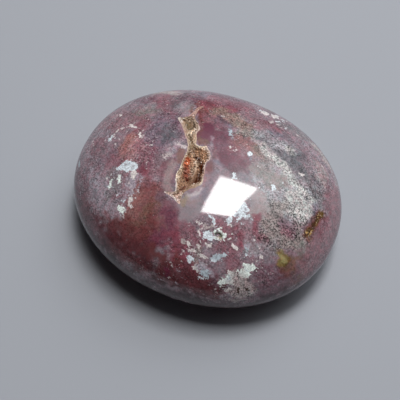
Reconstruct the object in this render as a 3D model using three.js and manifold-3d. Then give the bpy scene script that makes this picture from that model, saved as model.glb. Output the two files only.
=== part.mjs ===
// An ocean jasper palm stone: a polished pebble of jasper with one open hollow in its crown,
// lined with a crust of small quartz crystals, and a pinhole pit beside it.
//
// Frame: millimetres, +Z up, +X along the stone's long axis. The origin is the middle of the
// box round the stone, on the small flat of its belly that it rests on.

import * as THREE from 'three';
import { mergeVertices } from 'three/addons/utils/BufferGeometryUtils.js';
import Module from 'manifold-3d';

const wasm = await Module();
wasm.setup();

// ---- driving dimensions, in millimetres ----

// The pebble: a rounded oval in plan, with a high crown above its girdle and a lower belly.
const HALF_LENGTH = 32.5;
const HALF_WIDTH = 27.0;
const CROWN_HEIGHT = 14.5;
const GIRDLE_HEIGHT = 10.0;
const BELLY_DEPTH = 10.2; // a little more than the girdle's height: the rest is ground flat
const PLAN_POWER = 2.1; // 2 is a true ellipse, more is a fuller oval
const CROWN_POWER = 2.1;
const BELLY_POWER = 2.2;
const LOBE = 0.0044; // how far the plan leans towards three soft corners

// The hollow, seen from above: a cleft that starts as a crack at the back, opens to a small
// chamber, pinches to a neck, opens again to the main chamber and runs out in a shallow tail.
const HOLLOW_RIM = [
  [-7.8, 15.3], [-8.6, 14.2], [-9.2, 12.4], [-9.7, 10.9], [-11.4, 10.0], [-11.1, 9.1],
  [-10.1, 8.2], [-9.2, 7.1], [-8.1, 5.7], [-6.9, 4.1], [-6.0, 2.6], [-5.6, 0.6],
  [-5.5, -2.0], [-5.4, -4.4], [-5.0, -6.2], [-4.3, -8.0], [-5.7, -9.4], [-4.3, -10.1],
  [-2.0, -10.9], [-2.0, -8.8], [-1.2, -7.2], [-0.2, -6.2], [0.6, -4.8], [0.3, -3.0],
  [-0.2, -0.8], [0.0, 1.4], [-0.7, 3.2], [-2.0, 4.4], [-3.4, 4.0], [-4.6, 4.4],
  [-5.3, 6.4], [-5.3, 8.3], [-6.4, 9.7], [-7.8, 11.0], [-8.2, 12.8], [-8.1, 14.4],
];
// The line along its middle, from the crack to the tail, with the depth below the crown at each.
const HOLLOW_SPINE = [
  { at: [-8.5, 13.4], depth: 0.6 },
  { at: [-8.9, 9.7], depth: 2.0 },
  { at: [-7.0, 6.6], depth: 1.5 },
  { at: [-5.6, 4.2], depth: 1.6 },
  { at: [-3.2, 1.6], depth: 2.4 },
  { at: [-1.5, -1.2], depth: 3.4 },
  { at: [-1.1, -3.4], depth: 3.6 },
  { at: [-2.4, -6.6], depth: 2.2 },
  { at: [-3.2, -9.4], depth: 0.9 },
];
// Its wall: how far in towards the spine, and what share of the depth, from the rim down.
const HOLLOW_WALL = [
  { inwards: 0.0, down: 0.0 },
  { inwards: 0.1, down: 0.32 },
  { inwards: 0.28, down: 0.64 },
  { inwards: 0.52, down: 0.88 },
  { inwards: 0.8, down: 1.0 },
];
const HOLLOW_MIDDLE = { inwards: 0.98, down: 1.0 };
const RIM_STEPS = 60;
const WALL_ROUGHNESS = 0.16;
const CUTTER_LIFT = 3.0; // how far the cutter stands above the polished face
const SHALLOWEST = 0.25; // the least depth of the hollow and of the room in its crust

// The crust of crystals that lines the hollow, and the pinhole pit.
const CRUST_GAP = 0.3; // the least distance to the stone
const CRUST_INSET = 0.42; // the same, away from the crust's corners
const CRUST_THICKNESS = 0.55;
const ROOM_SHARE = 0.5; // the most of the hollow's half width that the inset takes
const OPEN_SHARE = 0.8; // the same with the crust
const THINNEST = 0.05; // the least height of the room that the crust fills, at its shallow ends
const CRYSTAL_TRIES = 138;
const CRYSTAL_SPACING = 0.82; // the least distance between two, over the sum of their radii
const CRYSTAL_RADIUS = [0.34, 0.72];
const CRYSTAL_SLENDERNESS = [1.1, 1.7]; // height over radius, to the foot of its point
const CRYSTAL_POINT = 1.0; // the point's height over its radius
const CRYSTAL_LEAN = 0.35;
const CRYSTAL_REACH = 2.7; // no crystal stands further than this from the hollow's middle line
const CRYSTAL_ROOT = 0.45; // how deep each one is rooted in the crust
const PIT = { x: 8.8, y: -13.8, length: 1.4, width: 1.0, depth: 0.5 };

const RINGS = 19; // rings of faces from the girdle to the crown, and to the belly
const SEGMENTS = 56;
const SEED = 20;

const JASPER = { color: 0x7d4f52, roughness: 0.16 };
const DRUSE = { color: 0xa08258, roughness: 0.55 };

// ---- helpers ----

// A repeatable stream of numbers from 0 to 1.
function randomStream(seed) {
  let state = seed >>> 0;
  return () => {
    state = (state + 0x6d2b79f5) >>> 0;
    let t = Math.imul(state ^ (state >>> 15), 1 | state);
    t = (t + Math.imul(t ^ (t >>> 7), 61 | t)) ^ t;
    return ((t ^ (t >>> 14)) >>> 0) / 4294967296;
  };
}

function between(range, share) {
  return range[0] + (range[1] - range[0]) * share;
}

// A closed mesh from corner points and triangles of their indices.
function closedMesh(points, triangles) {
  const geometry = new THREE.BufferGeometry();
  geometry.setAttribute('position', new THREE.Float32BufferAttribute(points.flat(), 3));
  geometry.setIndex(triangles.flat());
  return geometry;
}

function toManifold(geometry) {
  const bare = geometry.clone();
  bare.deleteAttribute('normal');
  bare.deleteAttribute('uv');
  const merged = mergeVertices(bare, 1e-4);
  return new wasm.Manifold(new wasm.Mesh({
    numProp: 3,
    vertProperties: new Float32Array(merged.attributes.position.array),
    triVerts: new Uint32Array(merged.index.array),
  }));
}

function toGeometry(manifold) {
  const mesh = manifold.getMesh();
  const geometry = new THREE.BufferGeometry();
  geometry.setAttribute('position', new THREE.Float32BufferAttribute(mesh.vertProperties, 3));
  geometry.setIndex(Array.from(mesh.triVerts));
  return geometry;
}

// ---- the pebble ----

// The plan's radius in a direction.
function planRadius(angle) {
  const across = Math.abs(Math.cos(angle) / HALF_LENGTH) ** PLAN_POWER;
  const along = Math.abs(Math.sin(angle) / HALF_WIDTH) ** PLAN_POWER;
  const lean = 1 + LOBE * (Math.sin(3 * angle) - Math.cos(3 * angle));
  return lean / (across + along) ** (1 / PLAN_POWER);
}

// The height of the crown over a place in plan.
function crownHeight(x, y) {
  const share = Math.hypot(x, y) / planRadius(Math.atan2(y, x));
  const rise = Math.max(0, 1 - share ** CROWN_POWER) ** (1 / CROWN_POWER);
  return GIRDLE_HEIGHT + CROWN_HEIGHT * rise;
}

// Rings from the crown's top to the belly's flat, closed by a fan at each end.
function pebbleGeometry() {
  const points = [[0, 0, GIRDLE_HEIGHT + CROWN_HEIGHT]];
  const flatTurn = Math.asin((GIRDLE_HEIGHT / BELLY_DEPTH) ** (BELLY_POWER / 2));
  const turns = [];
  for (let ring = 1; ring <= RINGS; ring += 1) {
    turns.push((Math.PI / 2) * (1 - ring / RINGS));
  }
  for (let ring = 1; ring <= RINGS; ring += 1) {
    turns.push(-flatTurn * (ring / RINGS));
  }
  for (const turn of turns) {
    const above = turn > 0;
    const power = above ? CROWN_POWER : BELLY_POWER;
    const reach = above ? CROWN_HEIGHT : -BELLY_DEPTH;
    const outwards = Math.cos(turn) ** (2 / power);
    const height = GIRDLE_HEIGHT + reach * Math.abs(Math.sin(turn)) ** (2 / power);
    for (let step = 0; step < SEGMENTS; step += 1) {
      const angle = (2 * Math.PI * step) / SEGMENTS;
      const radius = planRadius(angle) * outwards;
      points.push([radius * Math.cos(angle), radius * Math.sin(angle), Math.max(0, height)]);
    }
  }
  const bottom = points.length;
  points.push([0, 0, 0]);
  const triangles = [];
  const at = (ring, step) => 1 + ring * SEGMENTS + (step % SEGMENTS);
  for (let step = 0; step < SEGMENTS; step += 1) {
    triangles.push([0, at(0, step), at(0, step + 1)]);
    for (let ring = 0; ring < turns.length - 1; ring += 1) {
      triangles.push([at(ring, step), at(ring + 1, step), at(ring + 1, step + 1)]);
      triangles.push([at(ring, step), at(ring + 1, step + 1), at(ring, step + 1)]);
    }
    triangles.push([bottom, at(turns.length - 1, step + 1), at(turns.length - 1, step)]);
  }
  return closedMesh(points, triangles);
}

// ---- the hollow ----

// The nearest place on the hollow's spine, and how deep the hollow is there.
function nearestSpine(x, y) {
  let best = null;
  for (let i = 0; i < HOLLOW_SPINE.length - 1; i += 1) {
    const from = HOLLOW_SPINE[i];
    const to = HOLLOW_SPINE[i + 1];
    const run = [to.at[0] - from.at[0], to.at[1] - from.at[1]];
    const reach = (x - from.at[0]) * run[0] + (y - from.at[1]) * run[1];
    const share = THREE.MathUtils.clamp(reach / (run[0] ** 2 + run[1] ** 2), 0, 1);
    const place = [from.at[0] + run[0] * share, from.at[1] + run[1] * share];
    const distance = Math.hypot(x - place[0], y - place[1]);
    if (best === null || distance < best.distance) {
      const depth = THREE.MathUtils.lerp(from.depth, to.depth, share);
      best = { place, distance, depth };
    }
  }
  return best;
}

// The rim as evenly spaced places on a smooth closed curve through its corners.
function rimPlaces() {
  const corners = HOLLOW_RIM.map(([x, y]) => new THREE.Vector3(x, y, 0));
  const curve = new THREE.CatmullRomCurve3(corners, true, 'centripetal');
  return curve.getSpacedPoints(RIM_STEPS).slice(0, RIM_STEPS);
}

// Rings of points down the hollow's wall, held back from the bare hollow by an inset that takes
// up to a share of its half width, and nowhere less deep than a least depth.
function hollowRings({ inset, most, least = 0, wall = HOLLOW_WALL }) {
  const random = randomStream(SEED);
  const places = rimPlaces();
  return wall.map(({ inwards, down }, level) => places.map((place) => {
    const spine = nearestSpine(place.x, place.y);
    const rough = level === 0 ? 0 : WALL_ROUGHNESS * (random() - 0.5);
    const held = Math.min(inset + rough, spine.distance * most);
    const share = inwards + (1 - inwards) * (held / Math.max(spine.distance, 1e-6));
    const x = THREE.MathUtils.lerp(place.x, spine.place[0], share);
    const y = THREE.MathUtils.lerp(place.y, spine.place[1], share);
    const depth = Math.max(Math.max(spine.depth - inset, SHALLOWEST) * down + rough, least);
    return [x, y, crownHeight(x, y) - depth];
  }));
}

// The hollow as a closed mesh: its wall and floor, closed above by a lid at a lift over the crown.
function hollowGeometry(inset, most, lift) {
  const rings = hollowRings({ inset, most, least: lift > 0 ? 0 : THINNEST - lift });
  const lid = rings[0].map(([x, y]) => [x, y, crownHeight(x, y) + lift]);
  const levels = lift > 0 ? [lid, ...rings] : [lid, ...rings.slice(1)];
  const points = levels.flat();
  const count = RIM_STEPS;
  const triangles = [];
  for (let level = 0; level < levels.length - 1; level += 1) {
    for (let i = 0; i < count; i += 1) {
      const next = (i + 1) % count;
      const here = level * count;
      const below = here + count;
      triangles.push([here + i, below + i, below + next]);
      triangles.push([here + i, below + next, here + next]);
    }
  }
  const flat = (ring) => ring.map(([x, y]) => new THREE.Vector2(x, y));
  const floorAt = (levels.length - 1) * count;
  for (const [a, b, c] of THREE.ShapeUtils.triangulateShape(flat(levels.at(-1)), [])) {
    triangles.push([floorAt + c, floorAt + b, floorAt + a]);
  }
  for (const [a, b, c] of THREE.ShapeUtils.triangulateShape(flat(lid), [])) {
    triangles.push([a, b, c]);
  }
  return closedMesh(points, triangles);
}

// Trims a solid that lies in the hollow wherever it comes nearer to the hollow's wall than a gap.
function keepClear(solid, gap) {
  const shifts = [[gap, 0, 0], [-gap, 0, 0], [0, gap, 0], [0, -gap, 0], [0, 0, gap]];
  let clear = solid;
  for (const shift of shifts) {
    clear = clear.intersect(toManifold(hollowGeometry(0, 0, CUTTER_LIFT).translate(...shift)));
  }
  return clear;
}

// The largest of a solid's shells: loose crumbs and closed pockets between crystals go.
function largestShell(solid) {
  const shells = solid.decompose();
  return shells.reduce((largest, shell) => (
    shell.volume() > largest.volume() ? shell : largest
  ));
}

// ---- the crystals ----

// One quartz crystal: a six-sided prism with a six-sided point, rooted at a place and leaning
// along a direction.
function crystalSolid(place, direction, radius, height, turn) {
  const sides = 6;
  const along = direction.clone().normalize();
  const across = new THREE.Vector3(1, 0, 0).cross(along).normalize();
  const beside = along.clone().cross(across);
  const ring = (level, reach) => Array.from({ length: sides }, (_, i) => {
    const angle = turn + (2 * Math.PI * i) / sides;
    return place.clone()
      .addScaledVector(across, reach * Math.cos(angle))
      .addScaledVector(beside, reach * Math.sin(angle))
      .addScaledVector(along, level)
      .toArray();
  });
  const points = [...ring(-CRYSTAL_ROOT, radius * 0.9), ...ring(height, radius)];
  points.push(place.clone().addScaledVector(along, -CRYSTAL_ROOT).toArray());
  points.push(place.clone().addScaledVector(along, height + CRYSTAL_POINT * radius).toArray());
  const triangles = [];
  for (let i = 0; i < sides; i += 1) {
    const next = (i + 1) % sides;
    triangles.push([i, next, sides + next], [i, sides + next, sides + i]);
    triangles.push([2 * sides, next, i], [2 * sides + 1, sides + i, sides + next]);
  }
  return toManifold(closedMesh(points, triangles));
}

// Crystals rooted all over the crust's inner face, smaller where the hollow is narrow and
// never crowded so close that they would wall in a pocket between them.
function crystals() {
  const random = randomStream(SEED + 1);
  const wall = [...HOLLOW_WALL, HOLLOW_MIDDLE];
  const rings = hollowRings({ inset: CRUST_INSET + CRUST_THICKNESS, most: OPEN_SHARE, wall });
  const grown = [];
  const roots = [];
  for (let n = 0; n < CRYSTAL_TRIES; n += 1) {
    const level = random() * (rings.length - 1);
    const upper = Math.floor(level);
    const i = Math.floor(random() * RIM_STEPS);
    const next = (i + 1) % RIM_STEPS;
    const corners = [rings[upper][i], rings[upper + 1][i], rings[upper + 1][next]];
    const [a, b, c] = corners.map((corner) => new THREE.Vector3(...corner));
    const inwards = b.clone().sub(a).cross(c.clone().sub(a)).normalize().negate();
    const place = a.clone().lerp(b, level - upper);
    const width = nearestSpine(a.x, a.y);
    const size = Math.min(1, 0.35 + width.distance / 3, width.depth / 3);
    const radius = between(CRYSTAL_RADIUS, random() ** 2) * size;
    const height = radius * between(CRYSTAL_SLENDERNESS, random());
    const lean = new THREE.Vector3(random() - 0.5, random() - 0.5, random() - 0.5);
    const direction = inwards.addScaledVector(lean, CRYSTAL_LEAN);
    direction.z += 0.25;
    const turn = random() * Math.PI;
    const crowded = roots.some((root) => (
      root.place.distanceTo(place) < CRYSTAL_SPACING * (root.radius + radius)
    ));
    const inTip = nearestSpine(place.x, place.y).distance > CRYSTAL_REACH;
    if (size > 0.45 && !crowded && !inTip) {
      roots.push({ place, radius });
      grown.push(crystalSolid(place, direction, radius, height, turn));
    }
  }
  return grown;
}

// ---- the two pieces ----

// The pinhole pit's cutter: a low-sided lozenge sunk into the crown.
function pitSolid() {
  const geometry = new THREE.SphereGeometry(1, 9, 6);
  geometry.scale(PIT.length / 2, PIT.width / 2, PIT.depth);
  geometry.translate(PIT.x, PIT.y, crownHeight(PIT.x, PIT.y));
  return toManifold(geometry);
}

function stoneGeometry() {
  const pebble = toManifold(pebbleGeometry());
  const hollow = toManifold(hollowGeometry(0, 0, CUTTER_LIFT));
  return toGeometry(pebble.subtract(hollow).subtract(pitSolid()));
}

function crustGeometry() {
  const room = toManifold(hollowGeometry(CRUST_INSET, ROOM_SHARE, -CRUST_GAP));
  const open = toManifold(
    hollowGeometry(CRUST_INSET + CRUST_THICKNESS, OPEN_SHARE, CUTTER_LIFT),
  );
  let crust = room.subtract(open);
  for (const crystal of crystals()) {
    crust = crust.add(crystal);
  }
  return toGeometry(largestShell(keepClear(crust.intersect(room), CRUST_GAP)));
}

function piece(name, geometry, finish) {
  geometry.computeVertexNormals();
  const material = new THREE.MeshStandardMaterial({ ...finish, metalness: 0 });
  const mesh = new THREE.Mesh(geometry, material);
  mesh.name = name;
  return mesh;
}

const stone = piece('stone', stoneGeometry(), JASPER);
const crust = piece('druzy_crust', crustGeometry(), DRUSE);

// The soft corners shift the oval's box a little, so the pieces move together to centre it.
const box = new THREE.Box3().setFromBufferAttribute(stone.geometry.attributes.position);
const middle = box.getCenter(new THREE.Vector3());
const jasper = new THREE.Group();
jasper.position.set(-middle.x, -middle.y, -box.min.z);
jasper.add(stone, crust);

const part = new THREE.Group();
part.add(jasper);

export default part;
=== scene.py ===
"""An ocean jasper palm stone on a plain pale floor: a polished pebble with an open hollow in its
crown, lined with small quartz crystals.

Everything is in metres, in the frame of the part: +Z up, +X along the stone. Sizes are written
in millimetres and turned into metres with MM.
"""

import math

import bpy
import numpy as np
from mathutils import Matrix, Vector


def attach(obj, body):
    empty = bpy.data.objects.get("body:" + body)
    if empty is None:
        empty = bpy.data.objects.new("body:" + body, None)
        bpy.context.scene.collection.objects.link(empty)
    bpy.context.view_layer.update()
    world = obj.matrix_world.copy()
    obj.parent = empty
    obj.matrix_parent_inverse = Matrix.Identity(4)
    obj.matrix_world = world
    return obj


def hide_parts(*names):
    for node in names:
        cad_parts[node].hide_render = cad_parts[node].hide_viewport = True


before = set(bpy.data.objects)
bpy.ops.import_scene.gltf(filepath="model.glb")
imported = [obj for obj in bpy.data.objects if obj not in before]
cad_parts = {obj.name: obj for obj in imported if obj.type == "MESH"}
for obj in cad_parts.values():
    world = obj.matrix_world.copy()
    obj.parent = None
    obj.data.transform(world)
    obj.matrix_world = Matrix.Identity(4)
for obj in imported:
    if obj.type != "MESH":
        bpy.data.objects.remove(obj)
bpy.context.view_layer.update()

MM = 0.001
SEED = 7

# ---- the pebble's form, as cut and polished, in millimetres ----

HALF_LENGTH = 32.5
HALF_WIDTH = 27.0
CROWN_HEIGHT = 14.5
GIRDLE_HEIGHT = 10.0
BELLY_DEPTH = 10.2  # more than the girdle's height: the rest is ground flat
PLAN_POWER = 2.1
CROWN_POWER = 2.1
BELLY_POWER = 2.2
LOBE = 0.0044  # how far the plan leans towards three soft corners
MIDDLE = (LOBE * HALF_LENGTH, LOBE * HALF_WIDTH)  # the lean moves the box by this much
PEBBLE_CUTS = 61  # in each half of an edge of the cube that the pebble is blown from
CLOUD_KNOTS = 64
CLOUD_SHIFT = 3.7  # how far apart the clouds of two seeds lie
CLOUD_TURN = np.array([[0.36, 0.48, -0.8], [-0.8, 0.6, 0.0], [0.48, 0.64, 0.6]])
STREAK_LENGTH = 3.2  # how many times longer than wide the jasper's streaks are
CROWN_SHARE = 0.3  # how much of the mesh is drawn up to the crown, where the detail is
SMOOTH_ANGLE = 32  # in degrees, and sharper edges such as the hollow's rim stay sharp

# ---- the hollow: its rim seen from above, its middle line, and its wall ----

RIM = [
    (-7.6, 15.7), (-8.4, 15.3), (-8.9, 14.3), (-9.0, 13.2), (-9.2, 12.2), (-9.5, 11.2),
    (-10.3, 10.3), (-11.6, 9.9), (-11.4, 9.3), (-10.4, 8.4), (-9.4, 7.4), (-8.4, 6.1),
    (-7.5, 4.9), (-6.7, 3.8), (-6.0, 2.6), (-5.7, 1.2), (-5.6, -0.6), (-5.5, -2.0),
    (-5.3, -3.2), (-5.5, -4.4), (-5.2, -5.8), (-4.6, -7.1), (-4.1, -8.2), (-4.3, -8.9),
    (-6.3, -9.6), (-4.4, -10.1), (-3.1, -10.6), (-1.8, -11.0), (-2.1, -9.2), (-1.9, -8.0),
    (-1.2, -7.2), (-0.2, -6.4), (0.7, -5.3), (0.8, -4.2), (0.5, -3.0), (0.2, -1.6),
    (-0.2, -0.4), (-0.2, 0.8), (0.1, 1.6), (-0.2, 2.4), (-0.8, 3.4), (-1.3, 3.9),
    (-2.1, 4.5), (-2.8, 4.1), (-3.8, 3.9), (-4.5, 4.2), (-4.9, 5.4), (-5.5, 6.6),
    (-5.5, 7.5), (-5.3, 8.3), (-5.9, 9.2), (-6.8, 10.1), (-7.8, 11.0), (-8.1, 12.2),
    (-8.1, 13.4), (-7.9, 14.5),
]
SPINE = [
    (-8.5, 13.4, 0.6),
    (-8.9, 9.7, 2.0),
    (-7.0, 6.6, 1.5),
    (-5.6, 4.2, 1.6),
    (-3.2, 1.6, 2.4),
    (-1.5, -1.2, 3.4),
    (-1.1, -3.4, 3.6),
    (-2.4, -6.6, 2.2),
    (-3.2, -9.4, 0.9),
]  # x, y and the depth under the crown
WALL = [
    (0.0, 0.0),
    (0.04, 0.12),
    (0.10, 0.28),
    (0.18, 0.44),
    (0.30, 0.62),
    (0.44, 0.78),
    (0.60, 0.90),
    (0.78, 0.97),
    (0.96, 1.0),
]  # how far in towards the middle line, and what share of the depth
RIM_STEPS = 300
RIM_NIBBLE = 0.13  # how far the rim's edge is nibbled in and out
WALL_ROUGHNESS = 0.30
SPINE_EASE = 9  # rim steps over which the wall's way down to the middle line is evened out
CUTTER_WALL = [(0.0, 0.0), (0.05, 0.25), (0.16, 0.6), (0.35, 0.85), (0.6, 1.0)]
CUTTER_LIFT = 3.0  # how far the cutter stands above the polished face
CURVE_STEPS = 24  # steps of the smooth curve between two corners of the rim
NIBBLE_WAVES = (70, 140)  # how many waves there are round the rim
ROUGH_WAVES = (90, 37)
ROUGH_ONSET = 3  # the wall is fully rough from a third of the way down
MOST_HELD = 0.75  # the most of the hollow's half width that an inset takes
SHALLOWEST = 0.25  # the least depth of the hollow

# ---- the crust of crystals ----

LIP_WIDTH = (0.10, 0.60)  # the crust's cut edge, polished flush with the crown
LIP_DROP = 0.02  # how far the lip's inner edge lies below the crown, twice as far as its outer
LIP_WAVES = 23  # how many times the lip widens and narrows round the rim
LIP_BEVEL = 0.92  # the share of the lip's width that is flat
EDGE_DEPTH = 0.4  # how far down the crust's cut edge keeps its pale colour
CRYSTAL_TRIES = 5200  # those that would stand out of the hollow are left out
CRYSTAL_RADIUS = (0.09, 0.27)
CRYSTAL_POINT = 1.0  # the point's height over the crystal's radius
CRYSTAL_HEIGHTS = (0.2, 1.5)  # height over radius, to the foot of the point
CRYSTAL_RARITY = 2.2  # more makes large crystals rarer
CRYSTAL_LEAN = 0.38
CRYSTAL_LIFT = np.array([0, 0, 0.25])  # how far crystals turn up towards the opening
CRYSTAL_SINK = 0.05  # how far below the crown each one stays
CRYSTAL_WALL = 0.02  # how far the wall that they stand on is held back from the lip
FIRST_LEVEL = 0.6  # crystals start this many rings down from the lip
LAST_GAP = 0.05  # and stop this many rings above the hollow's bottom
LEVEL_SPREAD = 0.9  # less than 1 brings more of the crystals to the lower rings
TONE_SPREAD = 0.4  # how far the crystals differ in brightness
SEEN_SHIFT = np.array([0.2, -0.47])  # the crystals' colours run down the wall along this slope
PIT = {"at": (8.8, -13.8), "length": 1.3, "width": 0.9, "depth": 0.5}

# ---- the jasper's colours, as ground and polished, 0 to 255 ----

MAUVE = (140, 118, 126)
DOVE = (148, 131, 139)
PEARL = (166, 151, 152)
HEATHER = (119, 100, 112)
ROSEWOOD = (143, 114, 121)
MADDER = (136, 95, 104)
DUSK = (118, 90, 100)
BRICK = (130, 82, 82)
RUST = (155, 108, 104)
SALMON = (164, 122, 126)
CRIMSON = (132, 72, 84)
OXBLOOD = (112, 62, 63)
EMBER = (98, 55, 59)
PLUM = (112, 64, 80)
WINE = (99, 43, 61)
GRAPE = (104, 48, 68)
UMBER = (120, 88, 76)
COCOA = (136, 98, 93)
SLATE = (106, 101, 107)
IRON = (72, 66, 72)
ASH = (126, 118, 122)
FLINT = (154, 149, 154)
SILVER = (180, 176, 173)
TAUPE = (137, 125, 122)
STEEL = (124, 114, 127)
LILAC = (153, 140, 145)
SAND = (143, 119, 111)
FERN = (134, 126, 122)
BEIGE = (178, 164, 162)
OLIVE = (134, 114, 70)
GOLD = (168, 152, 106)
PEAT = (108, 84, 48)
MILK = (222, 230, 236)
CHALK = (238, 246, 240)
BLUSH = (224, 215, 212)
PETAL = (202, 188, 188)
FROST = (180, 192, 200)
MIST = (170, 158, 168)
# the next colour is painted shade for the low front flank, a near-black in the jasper's deep red
FRONT_SHADE = (58, 30, 37)
MOSS = (84, 88, 66)
BRONZE = (100, 72, 32)
TOPAZ = (190, 144, 62)
SEPIA = (64, 42, 30)
CREAM = (240, 222, 200)
SPECK = (226, 222, 220)
HONEY = (166, 146, 112)
DRUSE = (186, 150, 124)
FAWN = (214, 186, 160)
ORANGE = (232, 138, 96)
RUSSET = (164, 94, 74)
TERRA = (204, 132, 112)
GARNET = (96, 40, 28)
LODEN = (114, 94, 66)
ROSE = (184, 148, 140)
LINEN = (206, 182, 172)
SHELL = (158, 134, 135)
CLAY = (152, 120, 96)
TAN = (206, 168, 138)
CARAMEL = (158, 118, 86)
COFFEE = (110, 76, 54)
UMBRE = (88, 40, 14)
BISCUIT = (184, 162, 142)
SPECK_LIGHT = 0.45  # how far the crumbs in a wash go from its colour to the specks'

# ---- the brushwork: sizes and reaches in millimetres, and strengths ----

SWAY = ((2.6, 0.7), (0.9, 0.35))  # size and strength of the clouds that bend a wash or lace
JAG = ((0.9, 0.3), (0.45, 0.2))  # those that bend a mark or a fine wash
BREAKUP = ((2.0, 0.55), (0.8, 0.6))  # those that break up a wash's edge
FLAKES = ((0.62, 0.7), (0.36, 0.45))  # those that part lace into flakes
FINE_SOFT = 0.8  # a wash with a harder edge than this is a fine one
RAGGED = 0.8  # how far a wash's edge breaks up, over its softness
MARK_SOFT = 0.8
MARK_REACH = 2.4  # how far from its edge a mark may change the stone
PATCH_REACH = 2
PATCH_LOOSE = 0.3
CRUMB_REACH = 1.7  # how far out from a mark's edge loose crumbs begin
CRUMB_FADE = 2  # over how far they thicken
CRUMB_SOFT = 0.4
CRUMB_LENGTH = 0.25
OPENING_SOFT = 0.5

# ---- the view and the light ----

VIEW_AZIMUTH = 23.6
VIEW_ELEVATION = 63.0
VIEW_LENS = 75.7  # in millimetres, as is the sensor
VIEW_SENSOR = 36
VIEW_REACH = (0.01, 10)  # the nearest and the furthest that the camera sees, in metres
VIEW_AT = (35.8, -85.5, 189.0)
WINDOW = [(-55, 257, 600), (-56, -10, 600), (79, 37, 600), (94, 157, 600), (128, 283, 600)]
WINDOW_STRENGTH = 21.5
WINDOW_COLOUR = (1.0, 1.0, 1.0)
GLOW_AZIMUTH = 75  # degrees from +X towards +Y
GLOW_ELEVATION = 54
GLOW_STRENGTH = 3.0
GLOW_TIGHTNESS = 12
ROOM_STRENGTH = 0.02
ROOM_COLOUR = (0.95, 0.97, 1.0)
FLOOR_RADIUS = 2.0  # in metres
FLOOR_SIDES = 96
FLOOR_DROP = 0.00002  # in metres, below the stone's flat
FLOOR_COLOUR = (0.390, 0.405, 0.440)


# ---- small tools ----


def srgb(red, green, blue):
    """A colour as a maker reads it off a chart, 0 to 255, as the linear light that a shader uses."""
    parts = [v / 255 for v in (red, green, blue)]
    return tuple(v / 12.92 if v < 0.04045 else ((v + 0.055) / 1.055) ** 2.4 for v in parts)


def linear(colour):
    """A named colour as an array, to reckon with."""
    return np.array(srgb(*colour))


def deselect():
    for thing in list(bpy.context.selected_objects):
        thing.select_set(False)


def finished(name):
    """Names the active object and gives its mesh its place, so that it sits at the origin."""
    thing = bpy.context.active_object
    thing.name = name
    thing.data.name = name
    bpy.ops.object.transform_apply(location=True, rotation=True, scale=True)
    return thing


def places(thing):
    """The mesh's points as an array, in millimetres."""
    points = np.empty(len(thing.data.vertices) * 3)
    thing.data.vertices.foreach_get("co", points)
    return points.reshape(-1, 3) / MM


def move_to(thing, points):
    thing.data.vertices.foreach_set("co", (points * MM).ravel())
    thing.data.update()


def new_mesh(name, points, faces):
    mesh = bpy.data.meshes.new(name)
    mesh.from_pydata((np.asarray(points) * MM).tolist(), [], faces)
    mesh.validate()
    thing = bpy.data.objects.new(name, mesh)
    bpy.context.collection.objects.link(thing)
    return thing


def make_active(thing):
    deselect()
    thing.select_set(True)
    bpy.context.view_layer.objects.active = thing


def open_mesh():
    """Opens the active mesh for editing, with all of it selected."""
    bpy.ops.object.mode_set(mode="EDIT")
    bpy.ops.mesh.select_all(action="SELECT")


def close_mesh():
    bpy.ops.object.mode_set(mode="OBJECT")


def cut(thing, cutter):
    """Cuts one mesh with another and takes the cutter away."""
    make_active(thing)
    knife = thing.modifiers.new("cut", "BOOLEAN")
    knife.operation = "DIFFERENCE"
    knife.solver = "EXACT"
    knife.object = cutter
    bpy.ops.object.modifier_apply(modifier=knife.name)
    bpy.data.objects.remove(cutter, do_unlink=True)


# ---- the pebble ----


def plan_radius(angle):
    across = np.abs(np.cos(angle) / HALF_LENGTH) ** PLAN_POWER
    along = np.abs(np.sin(angle) / HALF_WIDTH) ** PLAN_POWER
    lean = 1 + LOBE * (np.sin(3 * angle) - np.cos(3 * angle))
    return lean / (across + along) ** (1 / PLAN_POWER)


def plan_share(x, y):
    """How far a place is from the middle, as a share of the way to the outline."""
    x, y = np.asarray(x) - MIDDLE[0], np.asarray(y) - MIDDLE[1]
    return np.hypot(x, y) / plan_radius(np.arctan2(y, x))


def crown_height(x, y):
    share = plan_share(x, y)
    rise = np.maximum(0, 1 - share**CROWN_POWER) ** (1 / CROWN_POWER)
    return GIRDLE_HEIGHT + CROWN_HEIGHT * rise


def belly_height(x, y):
    share = plan_share(x, y)
    fall = np.maximum(0, 1 - share**BELLY_POWER) ** (1 / BELLY_POWER)
    return np.maximum(0, GIRDLE_HEIGHT - BELLY_DEPTH * fall)


def pebble():
    """A cube, cut fine and blown out to a ball, then drawn to the pebble's form."""
    deselect()
    bpy.ops.mesh.primitive_cube_add(size=2 * MM, location=(0, 0, 0))
    open_mesh()
    bpy.ops.mesh.subdivide(number_cuts=1)
    bpy.ops.mesh.subdivide(number_cuts=PEBBLE_CUTS)
    close_mesh()
    stone = finished("polished_stone")
    ball = np.tan(places(stone) * (math.pi / 4))
    ball /= np.linalg.norm(ball, axis=1)[:, None]
    height = ball[:, 2] + CROWN_SHARE * (1 - ball[:, 2] ** 2)
    angle = np.arctan2(ball[:, 1], ball[:, 0])
    rise = np.abs(height)
    run = np.sqrt(np.maximum(0, 1 - rise**2))
    above = height > 0
    power = np.where(above, CROWN_POWER, BELLY_POWER)
    reach = np.where(above, CROWN_HEIGHT, -BELLY_DEPTH)
    radius = plan_radius(angle) * run ** (2 / power)
    x = radius * np.cos(angle) + MIDDLE[0]
    y = radius * np.sin(angle) + MIDDLE[1]
    z = GIRDLE_HEIGHT + reach * rise ** (2 / power)
    move_to(stone, np.stack([x, y, z], axis=1))
    open_mesh()
    bpy.ops.mesh.bisect(
        plane_co=(0, 0, 0),
        plane_no=(0, 0, 1),
        clear_inner=True,
        use_fill=True,
        threshold=1e-8,
    )
    close_mesh()
    return stone


# ---- the hollow ----


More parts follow.
